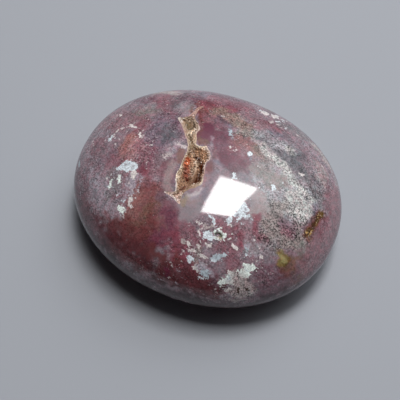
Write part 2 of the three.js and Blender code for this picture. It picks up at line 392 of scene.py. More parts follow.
def nearest_spine(x, y):
    """The nearest place on the hollow's middle line, how far it is, and the depth there."""
    best = (1e9, 0, 0, 0)
    for (ax, ay, deep_a), (bx, by, deep_b) in zip(SPINE, SPINE[1:]):
        run_x, run_y = bx - ax, by - ay
        share = ((x - ax) * run_x + (y - ay) * run_y) / (run_x**2 + run_y**2)
        share = min(1, max(0, share))
        near_x, near_y = ax + run_x * share, ay + run_y * share
        far = math.hypot(x - near_x, y - near_y)
        if far < best[0]:
            best = (far, near_x, near_y, deep_a + (deep_b - deep_a) * share)
    return best


def rim_places():
    """The rim as evenly spaced places on a smooth closed curve through its corners."""
    corners = np.array(RIM)
    count = len(corners)
    curve = []
    for i in range(count):
        a, b, c, d = (corners[(i + k) % count] for k in (-1, 0, 1, 2))
        for t in np.linspace(0, 1, CURVE_STEPS, endpoint=False):
            bend = 2 * b + (c - a) * t + (2 * a - 5 * b + 4 * c - d) * t**2
            curve.append((bend + (3 * b - a - 3 * c + d) * t**3) / 2)
    curve = np.array(curve) + MIDDLE
    closed = np.vstack([curve, curve[:1]])
    lengths = np.r_[0, np.cumsum(np.linalg.norm(np.diff(closed, axis=0), axis=1))]
    wanted = np.linspace(0, lengths[-1], RIM_STEPS, endpoint=False)
    x = np.interp(wanted, lengths, closed[:, 0])
    y = np.interp(wanted, lengths, closed[:, 1])
    return np.stack([x, y], axis=1)


def ripple(count, waves, random):
    """A closed run of smooth random values from -1 to 1, with a number of waves in it."""
    knots = random.uniform(-1, 1, waves)
    turn = np.arange(count) * waves / count
    low = turn.astype(int)
    part = turn - low
    ease = part * part * (3 - 2 * part)
    return knots[low % waves] * (1 - ease) + knots[(low + 1) % waves] * ease


def hollow_rings(inset, wall, roughness=0.0):
    """Rings of points down the hollow's wall, held back from it by an inset."""
    random = np.random.default_rng(SEED)
    rim = rim_places()
    nibble = RIM_NIBBLE * sum(ripple(RIM_STEPS, waves, random) for waves in NIBBLE_WAVES)
    spine = np.array([nearest_spine(x, y) for x, y in rim])
    steps = range(-SPINE_EASE, SPINE_EASE + 1)
    spine = sum(np.roll(spine, k, axis=0) for k in steps) / len(steps)
    near, deep = spine[:, 1:3], spine[:, 3]
    far = np.linalg.norm(near - rim, axis=1)
    rings = []
    for inwards, down in wall:
        rough = sum(ripple(RIM_STEPS, waves, random) for waves in ROUGH_WAVES)
        rough *= roughness * min(1, down * ROUGH_ONSET)
        held = np.clip(inset + nibble + rough * 0.5, 0, far * MOST_HELD)
        share = inwards + (1 - inwards) * held / np.maximum(far, 1e-6)
        place = rim + (near - rim) * share[:, None]
        depth = np.maximum(deep - inset, SHALLOWEST) * down + rough * 0.5
        z = crown_height(place[:, 0], place[:, 1]) - np.maximum(depth, 0)
        rings.append(np.column_stack([place, z]))
    return rings


def loft(rings):
    """Faces between rings of points, with the last ring closed across its middle."""
    points = np.vstack(rings)
    count = len(rings[0])
    faces = []
    for level in range(len(rings) - 1):
        for i in range(count):
            here, next_one = level * count + i, level * count + (i + 1) % count
            faces.append((here, here + count, next_one + count, next_one))
    faces.append(tuple((len(rings) - 1) * count + i for i in reversed(range(count))))
    return points, faces


def hollow_cutter():
    rings = hollow_rings(0.0, CUTTER_WALL)
    lid = rings[0].copy()
    lid[:, 2] += CUTTER_LIFT
    points, faces = loft([lid, *rings])
    faces.append(tuple(range(RIM_STEPS)))
    cutter = new_mesh("hollow_cutter", points, faces)
    make_active(cutter)
    open_mesh()
    bpy.ops.mesh.quads_convert_to_tris()
    bpy.ops.mesh.normals_make_consistent(inside=False)
    close_mesh()
    return cutter


def pit_cutter():
    x, y = PIT["at"]
    deselect()
    bpy.ops.mesh.primitive_ico_sphere_add(
        subdivisions=4,
        radius=1,
        location=(x * MM, y * MM, crown_height(x, y) * MM),
        scale=(PIT["length"] / 2 * MM, PIT["width"] / 2 * MM, PIT["depth"] * MM),
    )
    return finished("pit_cutter")


# ---- the crystals ----


def crystal_points(random, at, along, radius, height):
    """The points of one six-sided crystal with a point, standing on a place."""
    along = along / np.linalg.norm(along)
    across = np.cross(along, random.normal(size=3))
    across /= np.linalg.norm(across)
    beside = np.cross(along, across)
    turn = np.arange(6) * math.pi / 3
    star = np.cos(turn)[:, None] * across + np.sin(turn)[:, None] * beside
    foot = at - along * radius + star * radius
    shoulder = at + along * height + star * radius
    tip = at + along * (height + CRYSTAL_POINT * radius)
    return np.vstack([foot, shoulder, tip])


def crystal_faces(first):
    faces = []
    for i in range(6):
        j = (i + 1) % 6
        faces.append((first + i, first + j, first + 6 + j, first + 6 + i))
        faces.append((first + 6 + i, first + 6 + j, first + 12))
    return faces


def crust():
    """The crust: a thin shell with a polished lip, with crystals rooted all over its inside."""
    random = np.random.default_rng(SEED + 1)
    lip = 0.5 + 0.5 * ripple(RIM_STEPS, LIP_WAVES, random)
    width = LIP_WIDTH[0] + (LIP_WIDTH[1] - LIP_WIDTH[0]) * lip
    outer = hollow_rings(0.0, WALL)
    inner = hollow_rings(width, WALL[1:], WALL_ROUGHNESS)
    edge = hollow_rings(width * LIP_BEVEL, WALL[:1])[0]
    edge[:, 2] -= LIP_DROP
    top = outer[0].copy()
    top[:, 2] -= LIP_DROP * 0.5
    points, faces = loft([*reversed(outer[1:]), top, edge, *inner])
    faces.append(tuple(range(RIM_STEPS)))
    all_points = [points]
    first = len(points)
    walls = hollow_rings(width + CRYSTAL_WALL, WALL, WALL_ROUGHNESS)
    tones = [0.0] * len(points)
    levels = len(walls) - 1 - FIRST_LEVEL - LAST_GAP
    for _ in range(CRYSTAL_TRIES):
        level = FIRST_LEVEL + random.random() ** LEVEL_SPREAD * levels
        upper = int(level)
        i = random.integers(RIM_STEPS)
        j = (i + 1) % RIM_STEPS
        a, b, c = walls[upper][i], walls[upper + 1][i], walls[upper][j]
        normal = np.cross(c - a, b - a)
        size = np.linalg.norm(normal)
        if size < 1e-9:
            continue
        normal /= size
        if normal[2] < 0:
            normal = -normal
        at = a + (b - a) * (level - upper)
        big = random.random() ** CRYSTAL_RARITY
        radius = CRYSTAL_RADIUS[0] + (CRYSTAL_RADIUS[1] - CRYSTAL_RADIUS[0]) * big
        along = normal + random.normal(size=3) * CRYSTAL_LEAN + CRYSTAL_LIFT
        height = radius * random.uniform(*CRYSTAL_HEIGHTS)
        top_z = crown_height(at[0], at[1]) - CRYSTAL_SINK
        shape = crystal_points(random, at, along, radius, height)
        if shape[:, 2].max() > top_z:
            continue
        all_points.append(shape)
        faces.extend(crystal_faces(first))
        first += len(shape)
        tones += [random.uniform(-1, 1)] * len(shape)
    lining = new_mesh("crystal_lining", np.vstack(all_points), faces)
    layer = lining.data.attributes.new("tone", "FLOAT", "POINT")
    layer.data.foreach_set("value", np.array(tones, np.float32))
    return lining


# ---- painting the jasper: broad washes, then marks with a clear edge ----


def cloud(at, size, seed):
    """Smooth random values from -1 to 1 in space, that change over a size in millimetres."""
    knots = np.random.default_rng(seed).uniform(-1, 1, (CLOUD_KNOTS,) * 3)
    turned = (at @ CLOUD_TURN + seed * CLOUD_SHIFT) / size
    low = np.floor(turned).astype(int)
    part = turned - low
    part = part * part * (3 - 2 * part)
    total = 0
    for corner in range(8):
        step = np.array([corner & 1, corner >> 1 & 1, corner >> 2])
        knot = (low + step) % CLOUD_KNOTS
        share = np.where(step, part, 1 - part).prod(axis=1)
        total = total + share * knots[knot[:, 0], knot[:, 1], knot[:, 2]]
    return total


def clouds(at, layers, seeds):
    """Clouds of several sizes together, each with its own strength."""
    return sum(cloud(at, size, seed) * strength for (size, strength), seed in zip(layers, seeds))


def ease(value):
    value = np.clip(value, 0, 1)
    return value * value * (3 - 2 * value)


def from_run(points, start, end):
    """How far each point is from the straight run between two places."""
    run = end - start
    share = np.clip((points - start) @ run / (run @ run), 0, 1)
    return np.linalg.norm(points - start - share[:, None] * run, axis=1)


class Brushwork:
    """Colours at the points of a stone. A path is given by places in plan, on the crown or,
    after a turn of the stone, on the belly."""

    def __init__(self, places, ground):
        count = len(places)
        self.height = crown_height
        sway = [clouds(places, SWAY, (k, k + 3)) for k in (1, 2, 3)]
        self.places = places + np.stack(sway, axis=1)
        jag = [clouds(places, JAG, (k, k)) for k in (8, 9, 10)]
        self.fine = places + np.stack(jag, axis=1)
        self.breakup = clouds(places, BREAKUP, (11, 12))
        self.flakes = clouds(places, FLAKES, (13, 14))
        self.ground = np.tile(srgb(*ground), (count, 1))
        self.grain = np.full(count, 0.5)
        self.mark_colour = np.tile(srgb(*PETAL), (count, 1))
        self.cover = np.zeros(count)
        self.crumbs = []

    def reach(self, places, path, far):
        """The points near a path, and their distances to it."""
        path = np.array([(*p, self.height(*p)) for p in path], float)
        near = ((places > path.min(axis=0) - far) & (places < path.max(axis=0) + far)).all(axis=1)
        chosen = np.flatnonzero(near)
        points = places[chosen]
        distance = np.linalg.norm(points - path[0], axis=1)
        for start, end in zip(path, path[1:]):
            distance = np.minimum(distance, from_run(points, start, end))
        return chosen, distance

    def tint(self, chosen, colour, share):
        """Takes the colour of the marks at some points towards another by a share."""
        self.mark_colour[chosen] += (colour - self.mark_colour[chosen]) * share[:, None]

    def raise_cover(self, chosen, colour, raised, share):
        """Covers points with a mark, and colours those that it covers more than before."""
        self.tint(chosen, linear(colour), np.where(raised > self.cover[chosen], share, 0))
        self.cover[chosen] = np.maximum(self.cover[chosen], raised)

    def wash(self, colour, width, *path, soft, strength=0.9, grain=None):
        """A broad soft colour along a path, which may also change how strong the grain is."""
        places = self.fine if soft < FINE_SOFT else self.places
        chosen, distance = self.reach(places, path, width / 2 + soft * 2)
        edge = (width / 2 - distance) / soft + 0.5 + self.breakup[chosen] * RAGGED
        share = ease(edge) * strength
        colour = linear(colour)
        self.ground[chosen] += (colour - self.ground[chosen]) * share[:, None]
        self.tint(chosen, colour * (1 - SPECK_LIGHT) + linear(SPECK) * SPECK_LIGHT, share)
        if grain is not None:
            self.grain[chosen] += (grain - self.grain[chosen]) * share

    def lay(self, colour, chosen, inwards, strength, soft, loose):
        """Lays a mark where a point is inwards of its edge, with loose crumbs around it."""
        inside = ease(inwards / soft + 0.5)
        around = ease((inwards + CRUMB_REACH) / CRUMB_FADE)
        raised = np.maximum(inside, around * loose) * strength
        self.raise_cover(chosen, colour, raised, around**0.5 if loose else inside)

    def mark(self, colour, width, *path, strength=1.0, soft=MARK_SOFT, loose=0.24):
        """A mark with a clear edge along a path."""
        chosen, distance = self.reach(self.fine, path, width / 2 + MARK_REACH)
        self.lay(colour, chosen, width / 2 - distance, strength, soft, loose)

    def patch(self, colour, *outline, strength=1.0):
        """A mark that fills an outline, given in plan."""
        ring = np.array(outline, float)
        low, high = ring.min(axis=0) - PATCH_REACH, ring.max(axis=0) + PATCH_REACH
        flat = self.fine[:, :2]
        near = ((flat > low) & (flat < high)).all(axis=1)
        near &= (self.fine[:, 2] > GIRDLE_HEIGHT) == (self.height is crown_height)
        chosen = np.flatnonzero(near)
        points = flat[chosen]
        distance = np.full(len(points), 1e9)
        within = np.zeros(len(points), bool)
        for start, end in zip(ring, np.roll(ring, -1, axis=0)):
            distance = np.minimum(distance, from_run(points, start, end))
            spans = (start[1] > points[:, 1]) != (end[1] > points[:, 1])
            if start[1] != end[1]:
                run = end - start
                cross = start[0] + (points[:, 1] - start[1]) * run[0] / run[1]
                within ^= spans & (points[:, 0] < cross)
        inwards = np.where(within, distance, -distance)
        self.lay(colour, chosen, inwards, strength, MARK_SOFT, PATCH_LOOSE)

    def uncover(self, colour, width, *path):
        """An opening in a mark, where another colour shows."""
        chosen, distance = self.reach(self.fine, path, width / 2 + 1)
        self.tint(chosen, linear(colour), ease((width / 2 - distance) / OPENING_SOFT + 0.5))

    def lace(self, colour, width, *path, share, soft=1.5, strength=0.8):
        """Small flakes, scattered in a band along a path."""
        chosen, distance = self.reach(self.places, path, width / 2 + soft)
        inside = ease((width / 2 - distance) / soft + 0.5)
        raised = inside * (share + 0.05 + self.flakes[chosen] * 0.25) * strength
        self.raise_cover(chosen, colour, raised, inside)

    def scatter(self, colour, count, spread, *path, size=(0.05, 0.4), strength=1.0):
        """Loose crumbs, strewn about a path."""
        random = np.random.default_rng(len(self.crumbs) + SEED)
        self.crumbs.append(count)
        path = np.array(path, float)
        for _ in range(count):
            along = random.random() * (len(path) - 1)
            start = min(int(along), len(path) - 2)
            at = path[start] + (path[start + 1] - path[start]) * (along - start)
            at = at + random.normal(size=2) * spread
            end = at + random.normal(size=2) * CRUMB_LENGTH
            width = random.uniform(*size)
            self.mark(colour, width, at, end, strength=strength, soft=CRUMB_SOFT, loose=0)

    def keep(self, thing):
        """Stores the colours on the stone's mesh, where its finish reads them."""
        mesh = thing.data
        for name, colour in (("ground", self.ground), ("marks", self.mark_colour)):
            layer = mesh.attributes.new(name, "FLOAT_COLOR", "POINT")
            rgba = np.column_stack([colour, np.ones(len(colour))])
            layer.data.foreach_set("color", rgba.ravel().astype(np.float32))
        for name, value in (("cover", self.cover), ("grain", self.grain)):
            layer = mesh.attributes.new(name, "FLOAT", "POINT")
            layer.data.foreach_set("value", value.astype(np.float32))


def paint_shade_on_foot(b):
    """The lower flank, darker than the crown all the way round the front: painted shade, laid over the
    jasper's own deep red there.
    """
    b.wash(DUSK, 7, (-29, -12), (-24, -18), (-18, -21), soft=3, strength=0.6)
    b.wash(EMBER, 7, (-28, -13), (-23, -18), (-16, -21.6), (-8, -24), soft=5, strength=0.5)
    b.wash(FRONT_SHADE, 4, (-29, -15), (-24, -19.6), (-18, -23), (-12, -25), soft=4.4, strength=0.8)
    b.wash(DUSK, 4, (-28.6, -9.6), (-26.4, -12.6), soft=3, strength=0.6)
    b.wash(FRONT_SHADE, 5, (-13, -25.4), (-6, -26.6), (2, -27), (9, -26.6), soft=4.4, strength=0.85)
    b.wash(FRONT_SHADE, 4, (9, -26.4), (17, -24.4), (23, -20.6), (28, -15), soft=4, strength=0.8)


def wash_left(b):
    b.wash(DOVE, 12, (-25, -12), (-20, -18), (-16, -19), soft=4)
    b.wash(DOVE, 7, (-28, 3), (-27, -1), (-29, -3), soft=3)
    b.wash(MIST, 5, (-24, -9.5), (-21, -12.5), (-18.5, -15.5), soft=3, strength=0.6)
    b.wash(ROSEWOOD, 6, (-28, 6.5), (-23, 5.5), (-20, 9), soft=3)
    b.wash(MADDER, 4, (-27, -1.6), (-26, -4), soft=2.5, strength=0.6)
    b.wash(MAUVE, 5, (-24, -3.5), (-25.5, -6), (-21.5, -8), soft=3)
    b.wash(HEATHER, 3.5, (-24, -6.2), (-22, -4.5), soft=3, strength=0.5)
    b.wash(SALMON, 5.5, (-18.5, 0.8), (-16.4, 0.3), soft=2.5)
    b.wash(RUST, 3.8, (-19.4, 1.4), (-18.6, -1.5), (-17.8, -3.6), soft=2)
    b.wash(SALMON, 4, (-16.8, -2.2), (-15, -1.6), (-16, -4), soft=2.5, strength=0.8)
    b.wash(MADDER, 3, (-21.5, -5.5), (-19.5, -5.8), (-19.6, -8), soft=2, strength=0.8)
    b.wash(ROSEWOOD, 4, (-17, -8.6), (-16.4, -10.4), (-17, -13), soft=2)
    b.wash(ASH, 3, (-19.5, -9), (-17.5, -11.6), (-18, -13.2), soft=1.6, strength=0.8)
    b.wash(MADDER, 4, (-19.3, 7.4), (-17, 5.6), (-18.4, 4.6), soft=2.2)
    b.wash(ROSEWOOD, 4, (-24, 5.6), (-21.6, 6), soft=2)
    b.wash(FERN, 4, (-20.6, 8.8), (-17.4, 10.4), (-19.6, 11.4), soft=3, strength=0.8)
    b.wash(DOVE, 4, (-23, 11), (-20.5, 12.6), (-17.5, 12), soft=3, strength=0.7)
    b.wash(HEATHER, 8, (-13.5, 7.5), (-12, 4.4), soft=3, grain=0.6)
    b.wash(HEATHER, 4, (-14.8, 3.4), (-12.2, 1.8), (-13.4, 0), soft=3, strength=0.7, grain=0.5)
    b.wash(SLATE, 3.6, (-11.8, 5.6), (-10.4, 4.2), soft=2, strength=0.7, grain=0.5)
    b.wash(PLUM, 2.4, (-9.2, 6.8), (-10.6, 8.2), soft=2, strength=0.35)
    b.wash(DUSK, 3, (-15.2, 12.6), (-14.6, 10.4), (-12, 11.2), soft=2)
    b.wash(LILAC, 3.6, (-12.8, 14), (-11.4, 12.8), soft=2, grain=0.3)
    b.wash(MADDER, 5, (-20, 15.6), (-16.8, 15.2), (-16.2, 13), soft=2.4)
    b.wash(DUSK, 4, (-24, 15), (-21.6, 14.2), soft=2)
    b.wash(WINE, 1.3, (-21.2, 14.8), (-20.6, 14.6), soft=1, strength=0.7)
    b.wash(BEIGE, 3.2, (-20.8, 18.2), (-18, 18.7), (-15.6, 18.4), soft=1.4, grain=0.3)
    b.wash(DOVE, 4, (-14.6, 20.2), (-12.6, 21.6), soft=2)
    b.wash(DUSK, 4.4, (-13.6, 17.4), (-11.6, 18.6), (-9.6, 17.6), soft=2)
    b.wash(STEEL, 3.4, (-9.4, 20.6), (-8, 21.6), soft=2, strength=0.7)
    b.wash(OXBLOOD, 3, (-7.7, 17), (-6.8, 14.6), soft=1.8)
    b.wash(BRICK, 4.4, (-6.4, 15.6), (-5.4, 12.2), (-4.2, 13), soft=2)
    b.wash(OXBLOOD, 3.4, (-5.8, 11.6), (-4.6, 9.8), (-4.4, 7.6), soft=1.4, strength=0.8)
    b.wash(OXBLOOD, 2.6, (-6.3, 13), (-5.2, 10.6), soft=1.6, strength=0.5)
    b.wash(MADDER, 1.6, (-5.2, 13.2), (-4.8, 11.4), soft=1.4, strength=0.6)
    b.wash(MADDER, 5, (-6.4, 20), (-2.6, 20.4), (1, 20.6), soft=2.6)
    b.wash(DUSK, 3, (-6, 22.8), (-1, 22.8), soft=2, strength=0.8)


def wash_middle(b):
    b.wash(MADDER, 5, (-14.4, -2.4), (-12.6, -6), (-11, -10.4), soft=2.4)
    b.wash(PLUM, 2.2, (-12.8, -1.8), (-11.8, -3.6), (-10.6, -2.6), soft=1.8, strength=0.5)
    b.wash(CRIMSON, 2, (-13.5, -5.6), (-12.8, -7), (-12.4, -8), soft=1.2)
    b.wash(MIST, 3.2, (-13.6, -9), (-13.2, -12), soft=2, strength=0.6)
    b.wash(ROSEWOOD, 3.4, (-9.6, -2.6), (-9, -6.2), soft=2, strength=0.8)
    b.wash(DOVE, 2.6, (-9.2, 0.8), (-8, 2.2), soft=1.4)
    b.wash(COCOA, 1.9, (-6.7, 1.1), (-6.3, 0.2), (-6.2, -1.2), soft=0.6, grain=0.1)
    b.wash(ROSEWOOD, 1, (-7, -1.4), (-6.6, -2.2), soft=0.7, strength=0.7)
    b.wash(MADDER, 1.8, (-7.4, -1.8), (-8.4, -3.4), (-8.6, -6.4), soft=1.2, strength=0.8, grain=0.2)
    b.wash(SHELL, 2, (-6.9, -2.6), (-7, -4.6), (-6.4, -6.8), (-5.6, -8.5), soft=0.7, grain=0.15)
    b.wash(DUSK, 0.5, (-5.9, -3.2), (-5.7, -5), (-4.9, -7.4), soft=0.5, strength=0.8, grain=0.1)
    b.wash(BRICK, 9, (-9, -13), (-8.4, -17), (-5, -17.4), soft=3, grain=0.35)
    b.wash(UMBER, 3, (-5.6, -11.6), (-4.6, -13), (-4.4, -14.4), soft=2)
    b.wash(RUST, 2.4, (-11, -12.6), (-11.8, -16.6), soft=2.6, strength=0.6)
    b.wash(EMBER, 2, (-7.4, -15), (-8.6, -18.6), soft=1.6, strength=0.6)
    b.wash(UMBER, 2.8, (-7.2, -13.4), (-8.6, -16.6), (-9.4, -18.6), soft=2, strength=0.7)
    b.wash(OXBLOOD, 2.4, (-6.2, -15.4), (-6, -17.2), (-7.2, -19), soft=1.6, strength=0.8)
    b.wash(OXBLOOD, 5, (-15.5, -19.6), (-10, -20), (-4.4, -20), soft=3, grain=0.3)
    b.wash(EMBER, 3, (-17, -21.4), (-11, -22.2), (-5, -22.2), soft=2.4, grain=0.25)
    b.wash(EMBER, 3.4, (-14, -23), (-8, -24), (-2, -24.6), (5, -24.6), (11, -23.8), soft=2.4)
    # a near-black wash low on the front: painted shade, as on the foot
    b.wash(FRONT_SHADE, 4, (-3, -23.4), (-1, -24.2), soft=2, strength=0.5)
    b.wash(DUSK, 2.6, (-6, -10.8), (-3.8, -11.8), (-2.2, -13), soft=1.2, strength=0.8, grain=0.2)
    b.wash(MADDER, 5.4, (-3.2, -13.4), (-0.8, -15.6), soft=2.6, strength=0.85, grain=0.3)
    b.wash(PLUM, 4, (-2.4, -14.6), (-1.4, -17), (-3, -19.6), soft=2.4, strength=0.8, grain=0.3)
    b.wash(WINE, 2, (-3, -21), (-0.6, -19), (0.4, -20), soft=2, strength=0.5)
    b.wash(OXBLOOD, 3, (-3.4, -21.8), (-1, -22.4), soft=1.6, grain=0.1)
    b.wash(MADDER, 4, (1.2, -14.6), (2.8, -16.2), (4.8, -16.4), soft=2)
    b.wash(CRIMSON, 5, (1, -18.6), (3.6, -21.4), (7, -23), soft=2.4)
    b.wash(OXBLOOD, 1.6, (1.4, -20), (2.4, -21.4), soft=1.4)
    b.wash(TAUPE, 1.6, (5.8, -18), (6.4, -20.6), soft=1.6, strength=0.8)
    b.wash(EMBER, 5, (0, -24), (6, -24), (12, -23.4), soft=2.4)
    b.wash(WINE, 1, (0.8, -24), (1.6, -24.6), soft=0.8)
    b.wash(LILAC, 4.2, (0.4, -9), (0.9, -11.4), soft=1.6, grain=0.03)
    b.wash(SHELL, 2.4, (0.6, -7.8), (0.4, -9.8), soft=1, strength=0.7, grain=0.05)
    b.wash(MIST, 3, (1.4, -4.8), (1.2, -6.8), (0.2, -8.2), soft=1, grain=0.05)
    b.wash(HONEY, 1.4, (-0.9, -8.8), (-1, -10.4), soft=0.7, strength=0.5, grain=0.1)
    b.wash(ROSEWOOD, 0.9, (1, -5.4), (0.2, -6.6), (-1.2, -7.9), soft=0.5, strength=0.6, grain=0.1)
    b.wash(SALMON, 1.5, (0.9, -0.8), (1.2, -2.6), (1.7, -4.4), soft=0.9, grain=0.05)
    b.wash(BLUSH, 0.8, (1.1, -5.8), (1.1, -6.8), (0.4, -7.7), (-0.8, -8.3), soft=0.7, strength=0.5)
    b.wash(STEEL, 2.2, (2.9, -0.8), (2.8, -3.8), (3, -7.6), soft=1.2, strength=0.7, grain=0.05)
    b.wash(OXBLOOD, 1.8, (0.6, 4), (0.8, 1.4), (0.6, -0.4), soft=0.9, strength=0.75, grain=0.1)
    b.wash(STEEL, 2.6, (1.7, 2), (3.4, 2.4), soft=1.2, grain=0.08)
    b.wash(MAUVE, 8, (6, -3), (8, -6), soft=2, grain=0.2)
    b.wash(ASH, 6, (9.6, 1.4), (12.6, 4), (14.6, 2.6), soft=2, grain=0.25)
    b.wash(STEEL, 1.8, (8.6, 0.8), (10.8, 0.4), (13, -0.4), soft=1, strength=0.5, grain=0.2)


def wash_behind_the_hollow(b):
    b.wash(CRIMSON, 3, (-6.4, 16.6), (-3, 16.8), (-0.6, 17.2), soft=2, strength=0.7)
    b.wash(SAND, 4.4, (-2.6, 14.8), (0.4, 15), (3.6, 14.2), (5, 12.4), soft=2, grain=0.7)
    b.wash(EMBER, 3, (-9, 25), (-3, 25.8), (4, 25.8), soft=2)
    b.wash(UMBER, 2, (3, 25), (7, 24.6), soft=2, strength=0.6)
    b.wash(FERN, 3.4, (3.6, 10.6), (5.4, 11.4), (7, 12.8), soft=2, grain=0.8)
    b.wash(MADDER, 3, (-3.2, 12.2), (-1.4, 11.6), soft=1.6)
    b.wash(DUSK, 2.8, (-2, 12.8), (-0.2, 12.6), soft=1.2, strength=1)
    b.wash(STEEL, 1.2, (0.2, 12.4), (1, 12), soft=0.7, strength=0.8)
    b.wash(IRON, 0.8, (-1.7, 13.1), (-0.7, 12.7), soft=0.7, strength=0.6)
    b.wash(WINE, 3, (-3.4, 9.8), (-2.4, 9.2), (-0.6, 8.4), soft=1.4, grain=0.15)
    b.wash(PLUM, 5.2, (-0.6, 7.6), (1.4, 7), (2.4, 4.8), soft=1.8, grain=0.4)
    b.wash(GRAPE, 2.6, (-3.7, 9.6), (-3.1, 8.4), (-3.4, 7.8), soft=0.7, grain=0.1)
    b.wash(GRAPE, 3, (-0.6, 10.6), (0.6, 9.6), soft=1.6, strength=0.7)
    b.wash(WINE, 4.6, (3.4, 4.2), (5.6, 3), (7.6, 3.8), soft=1.6, strength=0.75, grain=0.3)
    b.wash(CRIMSON, 3, (3.6, 6.4), (5.4, 7.2), soft=1.6, strength=0.6)
    b.wash(BRICK, 3.6, (3.4, 9), (6, 9.4), (7.4, 8.6), soft=1.6)
    b.wash(PLUM, 2.8, (-4.2, 7), (-2.4, 6.8), soft=0.7, strength=0.6, grain=0.1)
    b.wash(OXBLOOD, 0.8, (-4.8, 8.2), (-4.7, 6.6), (-4.1, 5), soft=0.6, strength=0.8, grain=0.1)
    b.wash(UMBER, 1.3, (-4, 5.6), (-2.4, 5.4), soft=0.7, strength=0.8, grain=0.15)
    b.wash(BRICK, 0.9, (-3.6, 5), (-2.8, 5.2), soft=0.6, strength=0.7, grain=0.15)
    b.wash(MIST, 0.6, (-1.7, 7.4), (-1.3, 6.2), (-0.8, 5), soft=0.6, strength=0.7, grain=0.1)
    b.wash(WINE, 0.7, (3.6, 4.4), soft=0.6)
    b.wash(WINE, 0.9, (6.9, 4), (7.6, 3.6), soft=0.6)
    b.wash(WINE, 0.7, (9, 2.7), (9.4, 2.2), soft=0.6, strength=0.7)
    b.wash(MADDER, 3, (7, 17.4), (10.4, 16.8), soft=1.8)
    b.wash(ROSEWOOD, 3, (3.4, 18.2), (7, 16), soft=2)
    b.wash(STEEL, 2.6, (10.8, 15.4), (14, 15.4), soft=2, strength=0.8)
    b.wash(UMBER, 1.4, (-9.8, 14), (-9.2, 12.8), soft=1, strength=0.7)
    b.wash(FLINT, 3, (16.4, 15.6), (19, 15), (21, 14.2), soft=1.4)
    b.wash(SILVER, 2.4, (19.6, 19.6), (22, 18.6), (24.6, 16.6), (27.4, 13), soft=1.4, strength=0.7)
    b.wash(SLATE, 2.8, (-15, 15.4), (-14.6, 13.4), soft=2, strength=0.6)
    b.wash(ASH, 3.6, (11.6, 20.4), (15, 19.6), (17, 20.8), soft=2)


